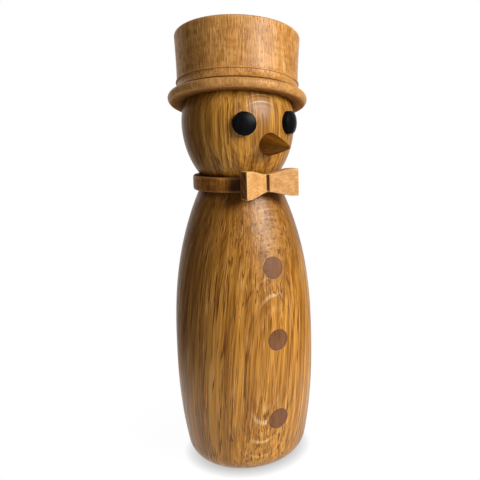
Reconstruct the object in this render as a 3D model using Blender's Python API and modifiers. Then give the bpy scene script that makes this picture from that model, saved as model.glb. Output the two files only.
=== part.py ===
"""Turned wooden snowman figurine, built piece by piece.

The figure stands on the ground plane with its turning axis on +Z and its buttons facing -Y.
Its own left hand is towards +X. All lengths are metres and all angles are degrees.
"""

import math

import bmesh
import bpy
from mathutils import Matrix, Vector

# Clearances
SEAT_GAP = 0.0003
CUT_OVERRUN = 0.004

# Facets round a full turn
TURNED_STEPS = 48
SMALL_STEPS = 24

# Body: a barrel with its widest point low down, drawn in to a narrow top
BODY_HEIGHT = 0.1307
BELLY_Z = 0.055
BELLY_RADIUS = 0.0324
BODY_TOP_RADIUS = 0.0184
BODY_TOP_FILLET = 0.0012
SHOULDER_FULLNESS = 2.5
HIP_RADIUS = 0.0267
HIP_FULLNESS = 2.3
BASE_RADIUS = 0.0200
FOOT_HEIGHT = 0.0085
FOOT_ROUNDNESS = 2.3

# Head: a ball above the eye line, drawn out into an egg below it
HEAD_BALL_RADIUS = 0.0259
EYE_LINE_ABOVE_NECK = 0.0290
HEAD_FOOT_RADIUS = 0.0131
HEAD_TURN = 5.2

# Neck dowel, glued in the body, with the head turning on it
DOWEL_RADIUS = 0.005
DOWEL_IN_BODY = 0.020
DOWEL_IN_HEAD = 0.016
DOWEL_CHAMFER = 0.0008

# Buttons: flush plugs down the front of the body
BUTTON_RADIUS = 0.0048
BUTTON_DEPTH = 0.006
TOP_BUTTON_DROP = 0.0346
MIDDLE_BUTTON_RISE = 0.00265
BOTTOM_BUTTON_HEIGHT = 0.0262

# Eyes: domed plugs in drilled seats
EYE_RADIUS = 0.0051
EYE_SPREAD = 26.8
EYE_BELOW_EYE_LINE = 0.0004
EYE_SEAT_DEPTH = 0.003
EYE_SIDE_PROUD = 0.0018
EYE_DOME_HEIGHT = 0.0013

# Nose: a cone on a tenon
NOSE_RADIUS = 0.0050
NOSE_LENGTH = 0.0150
NOSE_BELOW_EYE_LINE = 0.0096
NOSE_DROOP = 3.8
NOSE_SEAT_DEPTH = 0.0015
NOSE_TIP_RADIUS = 0.0007
NOSE_BULGE = 1.25
TENON_RADIUS = 0.0025
TENON_LENGTH = 0.008

# Collar: a loose ring that rests on the shoulder of the body
COLLAR_EASE = 0.00095
COLLAR_HEAD_CLEARANCE = 0.0008
COLLAR_WALL = 0.00235
COLLAR_HEIGHT = 0.0068
COLLAR_OUTER_FILLET = 0.0010
COLLAR_INNER_FILLET = 0.0004
BOW_TURN = 1.9
BOW_RISE = 0.0006

# Bow tie: two wings swept forwards from a thin waist
BOW_WIDTH = 0.0266
BOW_WAIST_HEIGHT = 0.0079
BOW_END_HEIGHT = 0.0122
BOW_WAIST_THICKNESS = 0.0030
BOW_FRONT_SWEEP = 0.0050
BOW_BACK_SWEEP = 0.0035
BOW_BACK_SINK = 0.0012
BOW_FLAT_END = 0.15
BOW_GROOVE_WIDTH = 0.0011
BOW_GROOVE_DEPTH = 0.0006
BOW_PIN_RADIUS = 0.00125
BOW_PIN_IN_BOW = 0.0015

# Hat: its mouth lies above the centre of the head's ball, along the hat's own axis
HAT_TILT = 14.0
HAT_TILT_HEADING = 58.3
HAT_MOUTH_Z = 0.0077
HAT_HEIGHT = 0.0326
MOUTH_CHAMFER = 0.0005
BRIM_WIDTH = 0.0070
BRIM_THICKNESS = 0.0048

# Hat's mouldings, with insets from the edge of the brim
CREASE_INSET = 0.0030
CREASE_STEP = 0.0005
LIP_INSET = 0.0026
COVE_INSET = 0.0043
COVE_HEIGHT = 0.0040
COVE_FLARE = 2.0
BEAD_INSET = 0.0035
BEAD_RADIUS = 0.0005
CROWN_FOOT_INSET = 0.0041
CROWN_TOP_INSET = 0.0028
CROWN_TOP_FILLET = 0.0010
CROWN_FLARE = 1.4

# Finishes: material name, linear red, green and blue, and roughness
OAK = ("oiled_oak", (0.42, 0.22, 0.062), 0.45)
MAPLE = ("oiled_maple", (0.60, 0.34, 0.13), 0.42)
BLACK_STAIN = ("black_stained_wood", (0.012, 0.010, 0.009), 0.35)
WALNUT = ("walnut_plug", (0.23, 0.095, 0.035), 0.50)
TEAK = ("teak_nose", (0.19, 0.075, 0.014), 0.45)
BEECH = ("beech_dowel", (0.55, 0.36, 0.19), 0.60)

# Places and sizes that follow from those above
NECK_Z = BODY_HEIGHT + SEAT_GAP
EYE_LINE_Z = NECK_Z + EYE_LINE_ABOVE_NECK
CHIN_SEMI_AXIS = EYE_LINE_ABOVE_NECK / math.sqrt(1.0 - (HEAD_FOOT_RADIUS / HEAD_BALL_RADIUS) ** 2)


def clear_scene():
    """Remove whatever the open file holds."""
    for old in list(bpy.data.objects):
        bpy.data.objects.remove(old)


def make_collection(name):
    """Return a new collection in the scene."""
    made = bpy.data.collections.new(name)
    bpy.context.scene.collection.children.link(made)
    return made


def make_material(name, colour, roughness):
    """Return a wood finish with its colour and roughness."""
    made = bpy.data.materials.new(name)
    made.use_nodes = True
    shader = made.node_tree.nodes["Principled BSDF"]
    shader.inputs["Base Color"].default_value = (*colour, 1.0)
    shader.inputs["Roughness"].default_value = roughness
    shader.inputs["Metallic"].default_value = 0.0
    made.diffuse_color = (*colour, 1.0)
    return made


def make_empty(name, collection, matrix, parent=None):
    """Return an empty that carries the pieces of one moving body."""
    made = bpy.data.objects.new(name, None)
    made.empty_display_size = 0.01
    collection.objects.link(made)
    made.parent = parent
    made.matrix_basis = matrix
    return made


def make_object(name, mesh, collection, parent, material=None, matrix=None):
    """Return a mesh object under its parent empty."""
    made = bpy.data.objects.new(name, mesh)
    collection.objects.link(made)
    made.parent = parent
    if matrix is not None:
        made.matrix_basis = matrix
    if material is not None:
        mesh.materials.append(material)
    return made


def make_guide(made):
    """Keep an object out of the model: it only cuts or shapes others."""
    made.hide_render = True
    made.display_type = "WIRE"
    return made


def profile_mesh(name, points, closed):
    """Return a mesh of edges through (radius, height) points."""
    mesh = bpy.data.meshes.new(name)
    vertices = [(radius, 0.0, height) for radius, height in points]
    edges = [(i, i + 1) for i in range(len(points) - 1)]
    if closed:
        edges.append((len(points) - 1, 0))
    mesh.from_pydata(vertices, edges, [])
    return mesh


def turned(name, points, collection, parent, material=None, closed=False, steps=TURNED_STEPS, matrix=None):
    """Return a piece turned about its own Z from a profile of (radius, height) points."""
    mesh = profile_mesh(name, points, closed)
    made = make_object(name, mesh, collection, parent, material, matrix)
    screw = made.modifiers.new("turning", "SCREW")
    screw.axis = "Z"
    screw.steps = steps
    screw.render_steps = steps
    screw.use_merge_vertices = True
    screw.merge_threshold = 0.00001
    screw.use_smooth_shade = True
    return made


def arc(centre, radius, start, end, count):
    """Return points on an arc in the profile plane, from one angle to another."""
    points = []
    for i in range(count + 1):
        angle = math.radians(start + (end - start) * i / count)
        points.append((centre[0] + radius * math.cos(angle), centre[1] + radius * math.sin(angle)))
    return points


def cylinder_mesh(name, radius, low, high, steps=SMALL_STEPS):
    """Return a capped cylinder on +Z between two heights."""
    mesh = bpy.data.meshes.new(name)
    shape = bmesh.new()
    bmesh.ops.create_cone(
        shape,
        cap_ends=True,
        segments=steps,
        radius1=radius,
        radius2=radius,
        depth=high - low,
        matrix=Matrix.Translation((0.0, 0.0, (high + low) / 2)),
    )
    shape.to_mesh(mesh)
    shape.free()
    return mesh


def outward(heading, height, distance=0.0, droop=0.0):
    """Return a frame at a distance from the axis whose +Z points outwards, drooping if asked.

    Heading 0 is -Y, and a positive heading turns towards +X.
    """
    turn = Matrix.Rotation(math.radians(heading), 4, "Z")
    face_front = Matrix.Rotation(math.radians(90.0), 4, "X")
    bow_down = Matrix.Rotation(math.radians(droop), 4, "X")
    place = Matrix.Translation((0.0, 0.0, height))
    return place @ turn @ face_front @ Matrix.Translation((0.0, 0.0, distance)) @ bow_down


def boolean(made, tool, operation="DIFFERENCE"):
    """Cut a piece with a tool, or keep what they share."""
    modifier = made.modifiers.new(operation.lower() + "_" + tool.name, "BOOLEAN")
    modifier.operation = operation
    modifier.solver = "EXACT"
    modifier.object = tool


def body_radius(height):
    """Return the body's radius at a height, foot rounding included."""
    if height >= BELLY_Z:
        share = (height - BELLY_Z) / (BODY_HEIGHT - BELLY_Z)
        return BELLY_RADIUS - (BELLY_RADIUS - BODY_TOP_RADIUS) * share**SHOULDER_FULLNESS
    share = (BELLY_Z - height) / BELLY_Z
    side = BELLY_RADIUS - (BELLY_RADIUS - HIP_RADIUS) * share**HIP_FULLNESS
    if height >= FOOT_HEIGHT:
        return side
    drawn_in = 1.0 - (1.0 - (1.0 - height / FOOT_HEIGHT) ** FOOT_ROUNDNESS) ** (1.0 / FOOT_ROUNDNESS)
    return side - (side - BASE_RADIUS) * drawn_in


def body_profile():
    """Return the body's outline from the centre of its top to the centre of its base."""
    side_top = BODY_HEIGHT - BODY_TOP_FILLET
    corner = (body_radius(side_top) - BODY_TOP_FILLET, side_top)
    points = [(0.0, BODY_HEIGHT)]
    points += arc(corner, BODY_TOP_FILLET, 90.0, 0.0, 3)
    side_steps = 20
    for i in range(1, side_steps + 1):
        height = side_top + (FOOT_HEIGHT - side_top) * i / side_steps
        points.append((body_radius(height), height))
    foot_steps = 7
    for i in range(1, foot_steps + 1):
        height = FOOT_HEIGHT * (1.0 - math.sin(math.radians(90.0 * i / foot_steps)))
        points.append((body_radius(height), height))
    points.append((0.0, 0.0))
    return points


def button_heights():
    """Return each button's name and height: the middle one sits just above halfway."""
    top = BODY_HEIGHT - TOP_BUTTON_DROP
    middle = (top + BOTTOM_BUTTON_HEIGHT) / 2 + MIDDLE_BUTTON_RISE
    return {"button_top": top, "button_middle": middle, "button_bottom": BOTTOM_BUTTON_HEIGHT}


def head_radius(drop):
    """Return the head's radius at a drop below the eye line, negative above it."""
    reach = CHIN_SEMI_AXIS if drop > 0.0 else HEAD_BALL_RADIUS
    return HEAD_BALL_RADIUS * math.sqrt(max(0.0, 1.0 - (drop / reach) ** 2))


def head_profile():
    """Return the head's outline, in heights above the neck joint."""
    points = []
    ball_steps = 10
    for i in range(ball_steps + 1):
        angle = math.radians(90.0 * (1.0 - i / ball_steps))
        radius = HEAD_BALL_RADIUS * math.cos(angle) if i else 0.0
        points.append((radius, EYE_LINE_ABOVE_NECK + HEAD_BALL_RADIUS * math.sin(angle)))
    chin_steps = 10
    last_angle = math.asin(EYE_LINE_ABOVE_NECK / CHIN_SEMI_AXIS)
    for i in range(1, chin_steps + 1):
        angle = last_angle * i / chin_steps
        drop = CHIN_SEMI_AXIS * math.sin(angle)
        points.append((head_radius(drop), EYE_LINE_ABOVE_NECK - drop))
    points.append((0.0, 0.0))
    return points


def make_torso(pieces, cutters, finishes):
    """Build the body, its neck dowel and its three buttons."""
    body = turned("body", body_profile(), pieces, None, finishes["oak"])
    form = make_guide(turned("body_form", body_profile(), cutters, None))

    dowel_low = BODY_HEIGHT - DOWEL_IN_BODY
    dowel_high = NECK_Z + DOWEL_IN_HEAD
    tip_radius = DOWEL_RADIUS - DOWEL_CHAMFER
    dowel_outline = [
        (0.0, dowel_high),
        (tip_radius, dowel_high),
        (DOWEL_RADIUS, dowel_high - DOWEL_CHAMFER),
        (DOWEL_RADIUS, dowel_low + DOWEL_CHAMFER),
        (tip_radius, dowel_low),
        (0.0, dowel_low),
    ]
    turned("neck_dowel", dowel_outline, pieces, None, finishes["beech"], steps=SMALL_STEPS)
    bore = cylinder_mesh(
        "body_dowel_bore", DOWEL_RADIUS + SEAT_GAP, dowel_low - SEAT_GAP, BODY_HEIGHT + CUT_OVERRUN
    )
    boolean(body, make_guide(make_object("body_dowel_bore", bore, cutters, None)))

    for name, height in button_heights().items():
        surface = body_radius(height)
        floor = surface - BUTTON_DEPTH
        beyond = surface + CUT_OVERRUN
        frame = outward(0.0, height)
        plug_mesh = cylinder_mesh(name, BUTTON_RADIUS, floor, beyond, SMALL_STEPS)
        plug = make_object(name, plug_mesh, pieces, None, finishes["walnut"], frame)
        boolean(plug, form, "INTERSECT")
        hole_mesh = cylinder_mesh(name + "_hole", BUTTON_RADIUS + SEAT_GAP, floor - SEAT_GAP, beyond)
        boolean(body, make_guide(make_object(name + "_hole", hole_mesh, cutters, None, None, frame)))


def eye_profile():
    """Return an eye plug's outline, in heights above the head's surface."""
    rim = EYE_SIDE_PROUD
    dome_radius = (EYE_RADIUS**2 + EYE_DOME_HEIGHT**2) / (2.0 * EYE_DOME_HEIGHT)
    dome_centre = rim + EYE_DOME_HEIGHT - dome_radius
    edge_angle = math.degrees(math.asin((rim - dome_centre) / dome_radius))
    dome = arc((0.0, dome_centre), dome_radius, 90.0, edge_angle, 6)
    dome[0] = (0.0, rim + EYE_DOME_HEIGHT)
    return dome + [(EYE_RADIUS, -EYE_SEAT_DEPTH), (0.0, -EYE_SEAT_DEPTH)]


def nose_profile():
    """Return the nose's outline with its tenon, in distances from the head's surface."""
    cone_steps = 8
    tip_centre = NOSE_LENGTH - NOSE_TIP_RADIUS
    points = arc((0.0, tip_centre), NOSE_TIP_RADIUS, 90.0, 0.0, 3)
    points[0] = (0.0, NOSE_LENGTH)
    for i in range(1, cone_steps + 1):
        share = i / cone_steps
        distance = tip_centre * (1.0 - share)
        reach = 1.0 - (1.0 - share) ** NOSE_BULGE
        points.append((NOSE_TIP_RADIUS + (NOSE_RADIUS - NOSE_TIP_RADIUS) * reach, distance))
    points += [(NOSE_RADIUS, -NOSE_SEAT_DEPTH), (TENON_RADIUS, -NOSE_SEAT_DEPTH)]
    points += [(TENON_RADIUS, -TENON_LENGTH), (0.0, -TENON_LENGTH)]
    return points


def make_head(pieces, cutters, finishes, pivot):
    """Build the head, its eyes and its nose on the neck's pivot."""
    head = turned("head", head_profile(), pieces, pivot, finishes["oak"])
    bore = cylinder_mesh("head_dowel_bore", DOWEL_RADIUS + SEAT_GAP, -CUT_OVERRUN, DOWEL_IN_HEAD + SEAT_GAP)
    boolean(head, make_guide(make_object("head_dowel_bore", bore, cutters, pivot)))

    eye_height = EYE_LINE_ABOVE_NECK - EYE_BELOW_EYE_LINE
    surface = head_radius(EYE_BELOW_EYE_LINE)
    for name, heading in (("eye_left", EYE_SPREAD), ("eye_right", -EYE_SPREAD)):
        frame = outward(heading, eye_height, surface)
        turned(name, eye_profile(), pieces, pivot, finishes["black"], steps=SMALL_STEPS, matrix=frame)
        seat = cylinder_mesh(name + "_seat", EYE_RADIUS + SEAT_GAP, -EYE_SEAT_DEPTH - SEAT_GAP, CUT_OVERRUN)
        boolean(head, make_guide(make_object(name + "_seat", seat, cutters, pivot, None, frame)))

    nose_height = EYE_LINE_ABOVE_NECK - NOSE_BELOW_EYE_LINE
    frame = outward(0.0, nose_height, head_radius(NOSE_BELOW_EYE_LINE), NOSE_DROOP)
    turned("nose", nose_profile(), pieces, pivot, finishes["teak"], steps=SMALL_STEPS, matrix=frame)
    seat = cylinder_mesh("nose_seat", NOSE_RADIUS + SEAT_GAP, -NOSE_SEAT_DEPTH - SEAT_GAP, CUT_OVERRUN)
    boolean(head, make_guide(make_object("nose_seat", seat, cutters, pivot, None, frame)))
    hole = cylinder_mesh("tenon_hole", TENON_RADIUS + SEAT_GAP, -TENON_LENGTH - SEAT_GAP, 0.0)
    boolean(head, make_guide(make_object("tenon_hole", hole, cutters, pivot, None, frame)))


def collar_seat_height(bore):
    """Return the height at which a ring of this inner radius comes to rest on the shoulder."""
    touching = bore - SEAT_GAP
    share = (BELLY_RADIUS - touching) / (BELLY_RADIUS - BODY_TOP_RADIUS)
    return BELLY_Z + (BODY_HEIGHT - BELLY_Z) * share ** (1.0 / SHOULDER_FULLNESS)


def collar_bore():
    """Return the collar's inner radius: it drops over the body's top and clears the head."""
    over_body_top = BODY_TOP_RADIUS + COLLAR_EASE
    ring_top = collar_seat_height(over_body_top) + COLLAR_HEIGHT
    beside_head = head_radius(EYE_LINE_Z - ring_top) + COLLAR_HEAD_CLEARANCE
    return max(over_body_top, beside_head)


def collar_profile(bore):
    """Return the collar's closed section, in heights above its lower face."""
    outer = bore + COLLAR_WALL - COLLAR_OUTER_FILLET
    inner = bore + COLLAR_INNER_FILLET
    top_outer = COLLAR_HEIGHT - COLLAR_OUTER_FILLET
    top_inner = COLLAR_HEIGHT - COLLAR_INNER_FILLET
    points = arc((outer, top_outer), COLLAR_OUTER_FILLET, 90.0, 0.0, 3)
    points += arc((outer, COLLAR_OUTER_FILLET), COLLAR_OUTER_FILLET, 0.0, -90.0, 3)
    points += arc((inner, COLLAR_INNER_FILLET), COLLAR_INNER_FILLET, -90.0, -180.0, 1)
    points += arc((inner, top_inner), COLLAR_INNER_FILLET, 180.0, 90.0, 1)
    return points


def flat_outline(name, points, half_depth, collection, parent, matrix):
    """Return a closed mesh extruded both ways from a flat outline."""
    curve = bpy.data.curves.new(name, "CURVE")
    curve.dimensions = "2D"
    curve.fill_mode = "BOTH"
    curve.extrude = half_depth
    spline = curve.splines.new("POLY")
    spline.points.add(len(points) - 1)
    for point, (x, y) in zip(spline.points, points):
        point.co = (x, y, 0.0, 1.0)
    spline.use_cyclic_u = True
    drawn = bpy.data.objects.new(name + "_outline", curve)
    collection.objects.link(drawn)
    bpy.context.view_layer.update()
    graph = bpy.context.evaluated_depsgraph_get()
    mesh = bpy.data.meshes.new_from_object(drawn.evaluated_get(graph))
    bpy.data.objects.remove(drawn)
    shape = bmesh.new()
    shape.from_mesh(mesh)
    bmesh.ops.remove_doubles(shape, verts=shape.verts, dist=0.00001)
    bmesh.ops.recalc_face_normals(shape, faces=shape.faces)
    shape.to_mesh(mesh)
    shape.free()
    mesh.shade_flat()
    mesh.name = name
    return make_object(name, mesh, collection, parent, None, matrix)


def bow_half_height(offset):
    """Return the bow's half height at a distance to one side of its middle."""
    share = min(1.0, abs(offset) / (BOW_WIDTH / 2 * (1.0 - BOW_FLAT_END)))
    flare = (1.0 - math.cos(math.pi * share)) / 2
    return (BOW_WAIST_HEIGHT + (BOW_END_HEIGHT - BOW_WAIST_HEIGHT) * flare) / 2


def bow_front_outline():
    """Return the bow's outline as seen from the front."""
    steps = 20
    offsets = [BOW_WIDTH * (i / steps - 0.5) for i in range(steps + 1)]
    lower = [(offset, -bow_half_height(offset)) for offset in offsets]
    upper = [(offset, bow_half_height(offset)) for offset in reversed(offsets)]
    return lower + upper


def bow_plan_outline(waist_front, waist_back):
    """Return the bow's outline as seen from above, with its swept wings and middle groove."""
    half = BOW_WIDTH / 2 + CUT_OVERRUN
    stretch = half / (BOW_WIDTH / 2)
    front_end = waist_front + BOW_FRONT_SWEEP * stretch
    back_end = waist_back + BOW_BACK_SWEEP * stretch
    groove = BOW_GROOVE_WIDTH / 2
    groove_floor = waist_front - BOW_GROOVE_DEPTH
    return [
        (-half, back_end),
        (0.0, waist_back),
        (half, back_end),
        (half, front_end),
        (groove, waist_front),
        (0.0, groove_floor),
        (-groove, waist_front),
        (-half, front_end),
    ]


def make_collar(pieces, cutters, finishes, pivot, bore):
    """Build the collar, the bow tie and the pin that joins them."""
    collar = turned("collar", collar_profile(bore), pieces, pivot, finishes["maple"], closed=True)

    middle = COLLAR_HEIGHT / 2
    bow_height = middle + BOW_RISE
    seat_radius = bore + COLLAR_WALL + SEAT_GAP
    waist_front = seat_radius + BOW_WAIST_THICKNESS
    upright = outward(0.0, bow_height)
    bow = flat_outline("bow_tie", bow_front_outline(), waist_front * 2, pieces, pivot, upright)
    bow.data.materials.append(finishes["maple"])
    lying = Matrix.Translation((0.0, 0.0, bow_height)) @ Matrix.Rotation(math.pi, 4, "X")
    plan_points = bow_plan_outline(waist_front, seat_radius - BOW_BACK_SINK)
    plan = flat_outline("bow_plan", plan_points, BOW_END_HEIGHT, cutters, pivot, lying)
    boolean(bow, make_guide(plan), "INTERSECT")
    seat = cylinder_mesh("bow_seat", seat_radius, -BOW_END_HEIGHT, COLLAR_HEIGHT + BOW_END_HEIGHT, TURNED_STEPS)
    boolean(bow, make_guide(make_object("bow_seat", seat, cutters, pivot)))

    pin_low = bore + SEAT_GAP
    pin_high = seat_radius + BOW_PIN_IN_BOW
    pin_axis = outward(0.0, middle)
    pin = cylinder_mesh("bow_pin", BOW_PIN_RADIUS, pin_low, pin_high, SMALL_STEPS // 2)
    make_object("bow_pin", pin, pieces, pivot, finishes["beech"], pin_axis)
    hole = cylinder_mesh("bow_pin_hole", BOW_PIN_RADIUS + SEAT_GAP, pin_low - CUT_OVERRUN, pin_high + SEAT_GAP)
    hole_guide = make_guide(make_object("bow_pin_hole", hole, cutters, pivot, None, pin_axis))
    boolean(bow, hole_guide)
    boolean(collar, hole_guide)


def hat_profile():
    """Return the hat's outline from the centre of its top, down its side and up into its socket."""
    socket = HEAD_BALL_RADIUS + SEAT_GAP
    mouth = math.sqrt(socket**2 - HAT_MOUTH_Z**2)
    brim_radius = mouth + BRIM_WIDTH
    roll = BRIM_THICKNESS / 2
    roll_centre = (brim_radius - roll, HAT_MOUTH_Z + roll)
    crease_angle = math.degrees(math.acos(1.0 - CREASE_INSET / roll))
    crease_z = roll_centre[1] + roll * math.sin(math.radians(crease_angle))
    cove_top = crease_z + CREASE_STEP + COVE_HEIGHT
    crown_low = cove_top + 2.0 * BEAD_RADIUS
    top = HAT_MOUTH_Z + HAT_HEIGHT
    crown_high = top - CROWN_TOP_FILLET
    crown_foot = brim_radius - CROWN_FOOT_INSET
    crown_top = brim_radius - CROWN_TOP_INSET

    points = [(0.0, top)]
    points += arc((crown_top - CROWN_TOP_FILLET, crown_high), CROWN_TOP_FILLET, 90.0, 0.0, 3)
    side_steps = 6
    for i in range(1, side_steps + 1):
        share = 1.0 - i / side_steps
        radius = crown_foot + (crown_top - crown_foot) * share**CROWN_FLARE
        points.append((radius, crown_low + (crown_high - crown_low) * share))

    bead_sweep = 50.0
    bead_centre = (brim_radius - BEAD_INSET - BEAD_RADIUS, cove_top + BEAD_RADIUS)
    points += arc(bead_centre, BEAD_RADIUS, bead_sweep, -bead_sweep, 4)
    cove_steps = 5
    for i in range(cove_steps + 1):
        share = i / cove_steps
        radius = brim_radius - COVE_INSET + (COVE_INSET - LIP_INSET) * share**COVE_FLARE
        points.append((radius, cove_top - COVE_HEIGHT * share))
    points += arc(roll_centre, roll, crease_angle, -90.0, 10)

    points.append((mouth + MOUTH_CHAMFER, HAT_MOUTH_Z))
    first = math.degrees(math.asin((HAT_MOUTH_Z + MOUTH_CHAMFER) / socket))
    dome = arc((0.0, 0.0), socket, first, 90.0, 8)
    dome[-1] = (0.0, socket)
    return points + dome


def make_hat(pieces, finishes, seat):
    """Build the hat on the centre of the head's ball."""
    turned("hat", hat_profile(), pieces, seat, finishes["maple"])


def main():
    """Build the whole figure."""
    clear_scene()
    pieces = make_collection("wooden_snowman")
    cutters = make_collection("cutters_and_guides")
    finishes = {
        "oak": make_material(*OAK),
        "maple": make_material(*MAPLE),
        "black": make_material(*BLACK_STAIN),
        "walnut": make_material(*WALNUT),
        "teak": make_material(*TEAK),
        "beech": make_material(*BEECH),
    }

    make_torso(pieces, cutters, finishes)

    neck_turn = Matrix.Rotation(math.radians(HEAD_TURN), 4, "Z")
    neck_pivot = make_empty("neck_pivot", pieces, Matrix.Translation((0.0, 0.0, NECK_Z)) @ neck_turn)
    make_head(pieces, cutters, finishes, neck_pivot)

    bore = collar_bore()
    collar_place = Matrix.Translation((0.0, 0.0, collar_seat_height(bore)))
    collar_turn = Matrix.Rotation(math.radians(BOW_TURN), 4, "Z")
    collar_pivot = make_empty("collar_pivot", pieces, collar_place @ collar_turn)
    make_collar(pieces, cutters, finishes, collar_pivot, bore)

    lean_heading = math.radians(HAT_TILT_HEADING)
    lean_axis = Vector((-math.sin(lean_heading), math.cos(lean_heading), 0.0))
    lean = Matrix.Rotation(math.radians(HAT_TILT), 4, lean_axis)
    hat_seat = make_empty("hat_seat", pieces, Matrix.Translation((0.0, 0.0, EYE_LINE_Z)) @ lean)
    make_hat(pieces, finishes, hat_seat)


main()
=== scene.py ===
"""The looks of a turned wooden snowman figurine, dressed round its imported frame.

Every piece is made in metres in the frame's own axes: +Z runs up the turning axis, the buttons face -Y and
the figure's own left hand is towards +X. A heading is an angle round +Z from the front, positive towards +X.
"""

import logging
import math
from dataclasses import dataclass
from enum import Enum

import bmesh
import bpy
from bpy.types import Material, Mesh, Node, NodeTree, Object
from mathutils import Matrix, Vector


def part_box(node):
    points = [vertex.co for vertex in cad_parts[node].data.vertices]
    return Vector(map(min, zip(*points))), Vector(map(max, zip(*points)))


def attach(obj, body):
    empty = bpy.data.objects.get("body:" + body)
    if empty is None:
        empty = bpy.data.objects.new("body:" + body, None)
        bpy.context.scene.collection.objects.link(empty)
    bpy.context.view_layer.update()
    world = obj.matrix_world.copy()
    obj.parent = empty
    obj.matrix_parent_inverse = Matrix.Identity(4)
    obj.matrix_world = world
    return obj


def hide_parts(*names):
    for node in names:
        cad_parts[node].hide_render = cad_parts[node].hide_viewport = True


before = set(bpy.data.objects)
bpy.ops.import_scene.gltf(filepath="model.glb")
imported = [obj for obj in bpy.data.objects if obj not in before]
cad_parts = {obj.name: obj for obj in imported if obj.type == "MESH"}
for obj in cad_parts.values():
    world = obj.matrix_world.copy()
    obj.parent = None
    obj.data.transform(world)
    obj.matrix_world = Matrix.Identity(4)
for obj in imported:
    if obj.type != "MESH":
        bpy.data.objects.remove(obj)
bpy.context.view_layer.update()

LOG = logging.getLogger("snowman")

Outline = list[tuple[float, float]]
Colour = tuple[float, float, float]
Socket = bpy.types.NodeSocket
Given = bpy.types.NodeOutputs
Result = bpy.types.NodeInputs


class Slot(Enum):
    """The record's material slots, which each dressed piece is logged with."""

    OAK = "oak"
    MAPLE = "maple"
    BLACK_STAIN = "black_stain"
    WALNUT = "walnut"
    TEAK = "teak"


class Carrier(Enum):
    """The moving bodies that pieces ride on."""

    BODY = "body"
    HEAD = "head"
    COLLAR = "collar"
    HAT = "hat"


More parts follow.
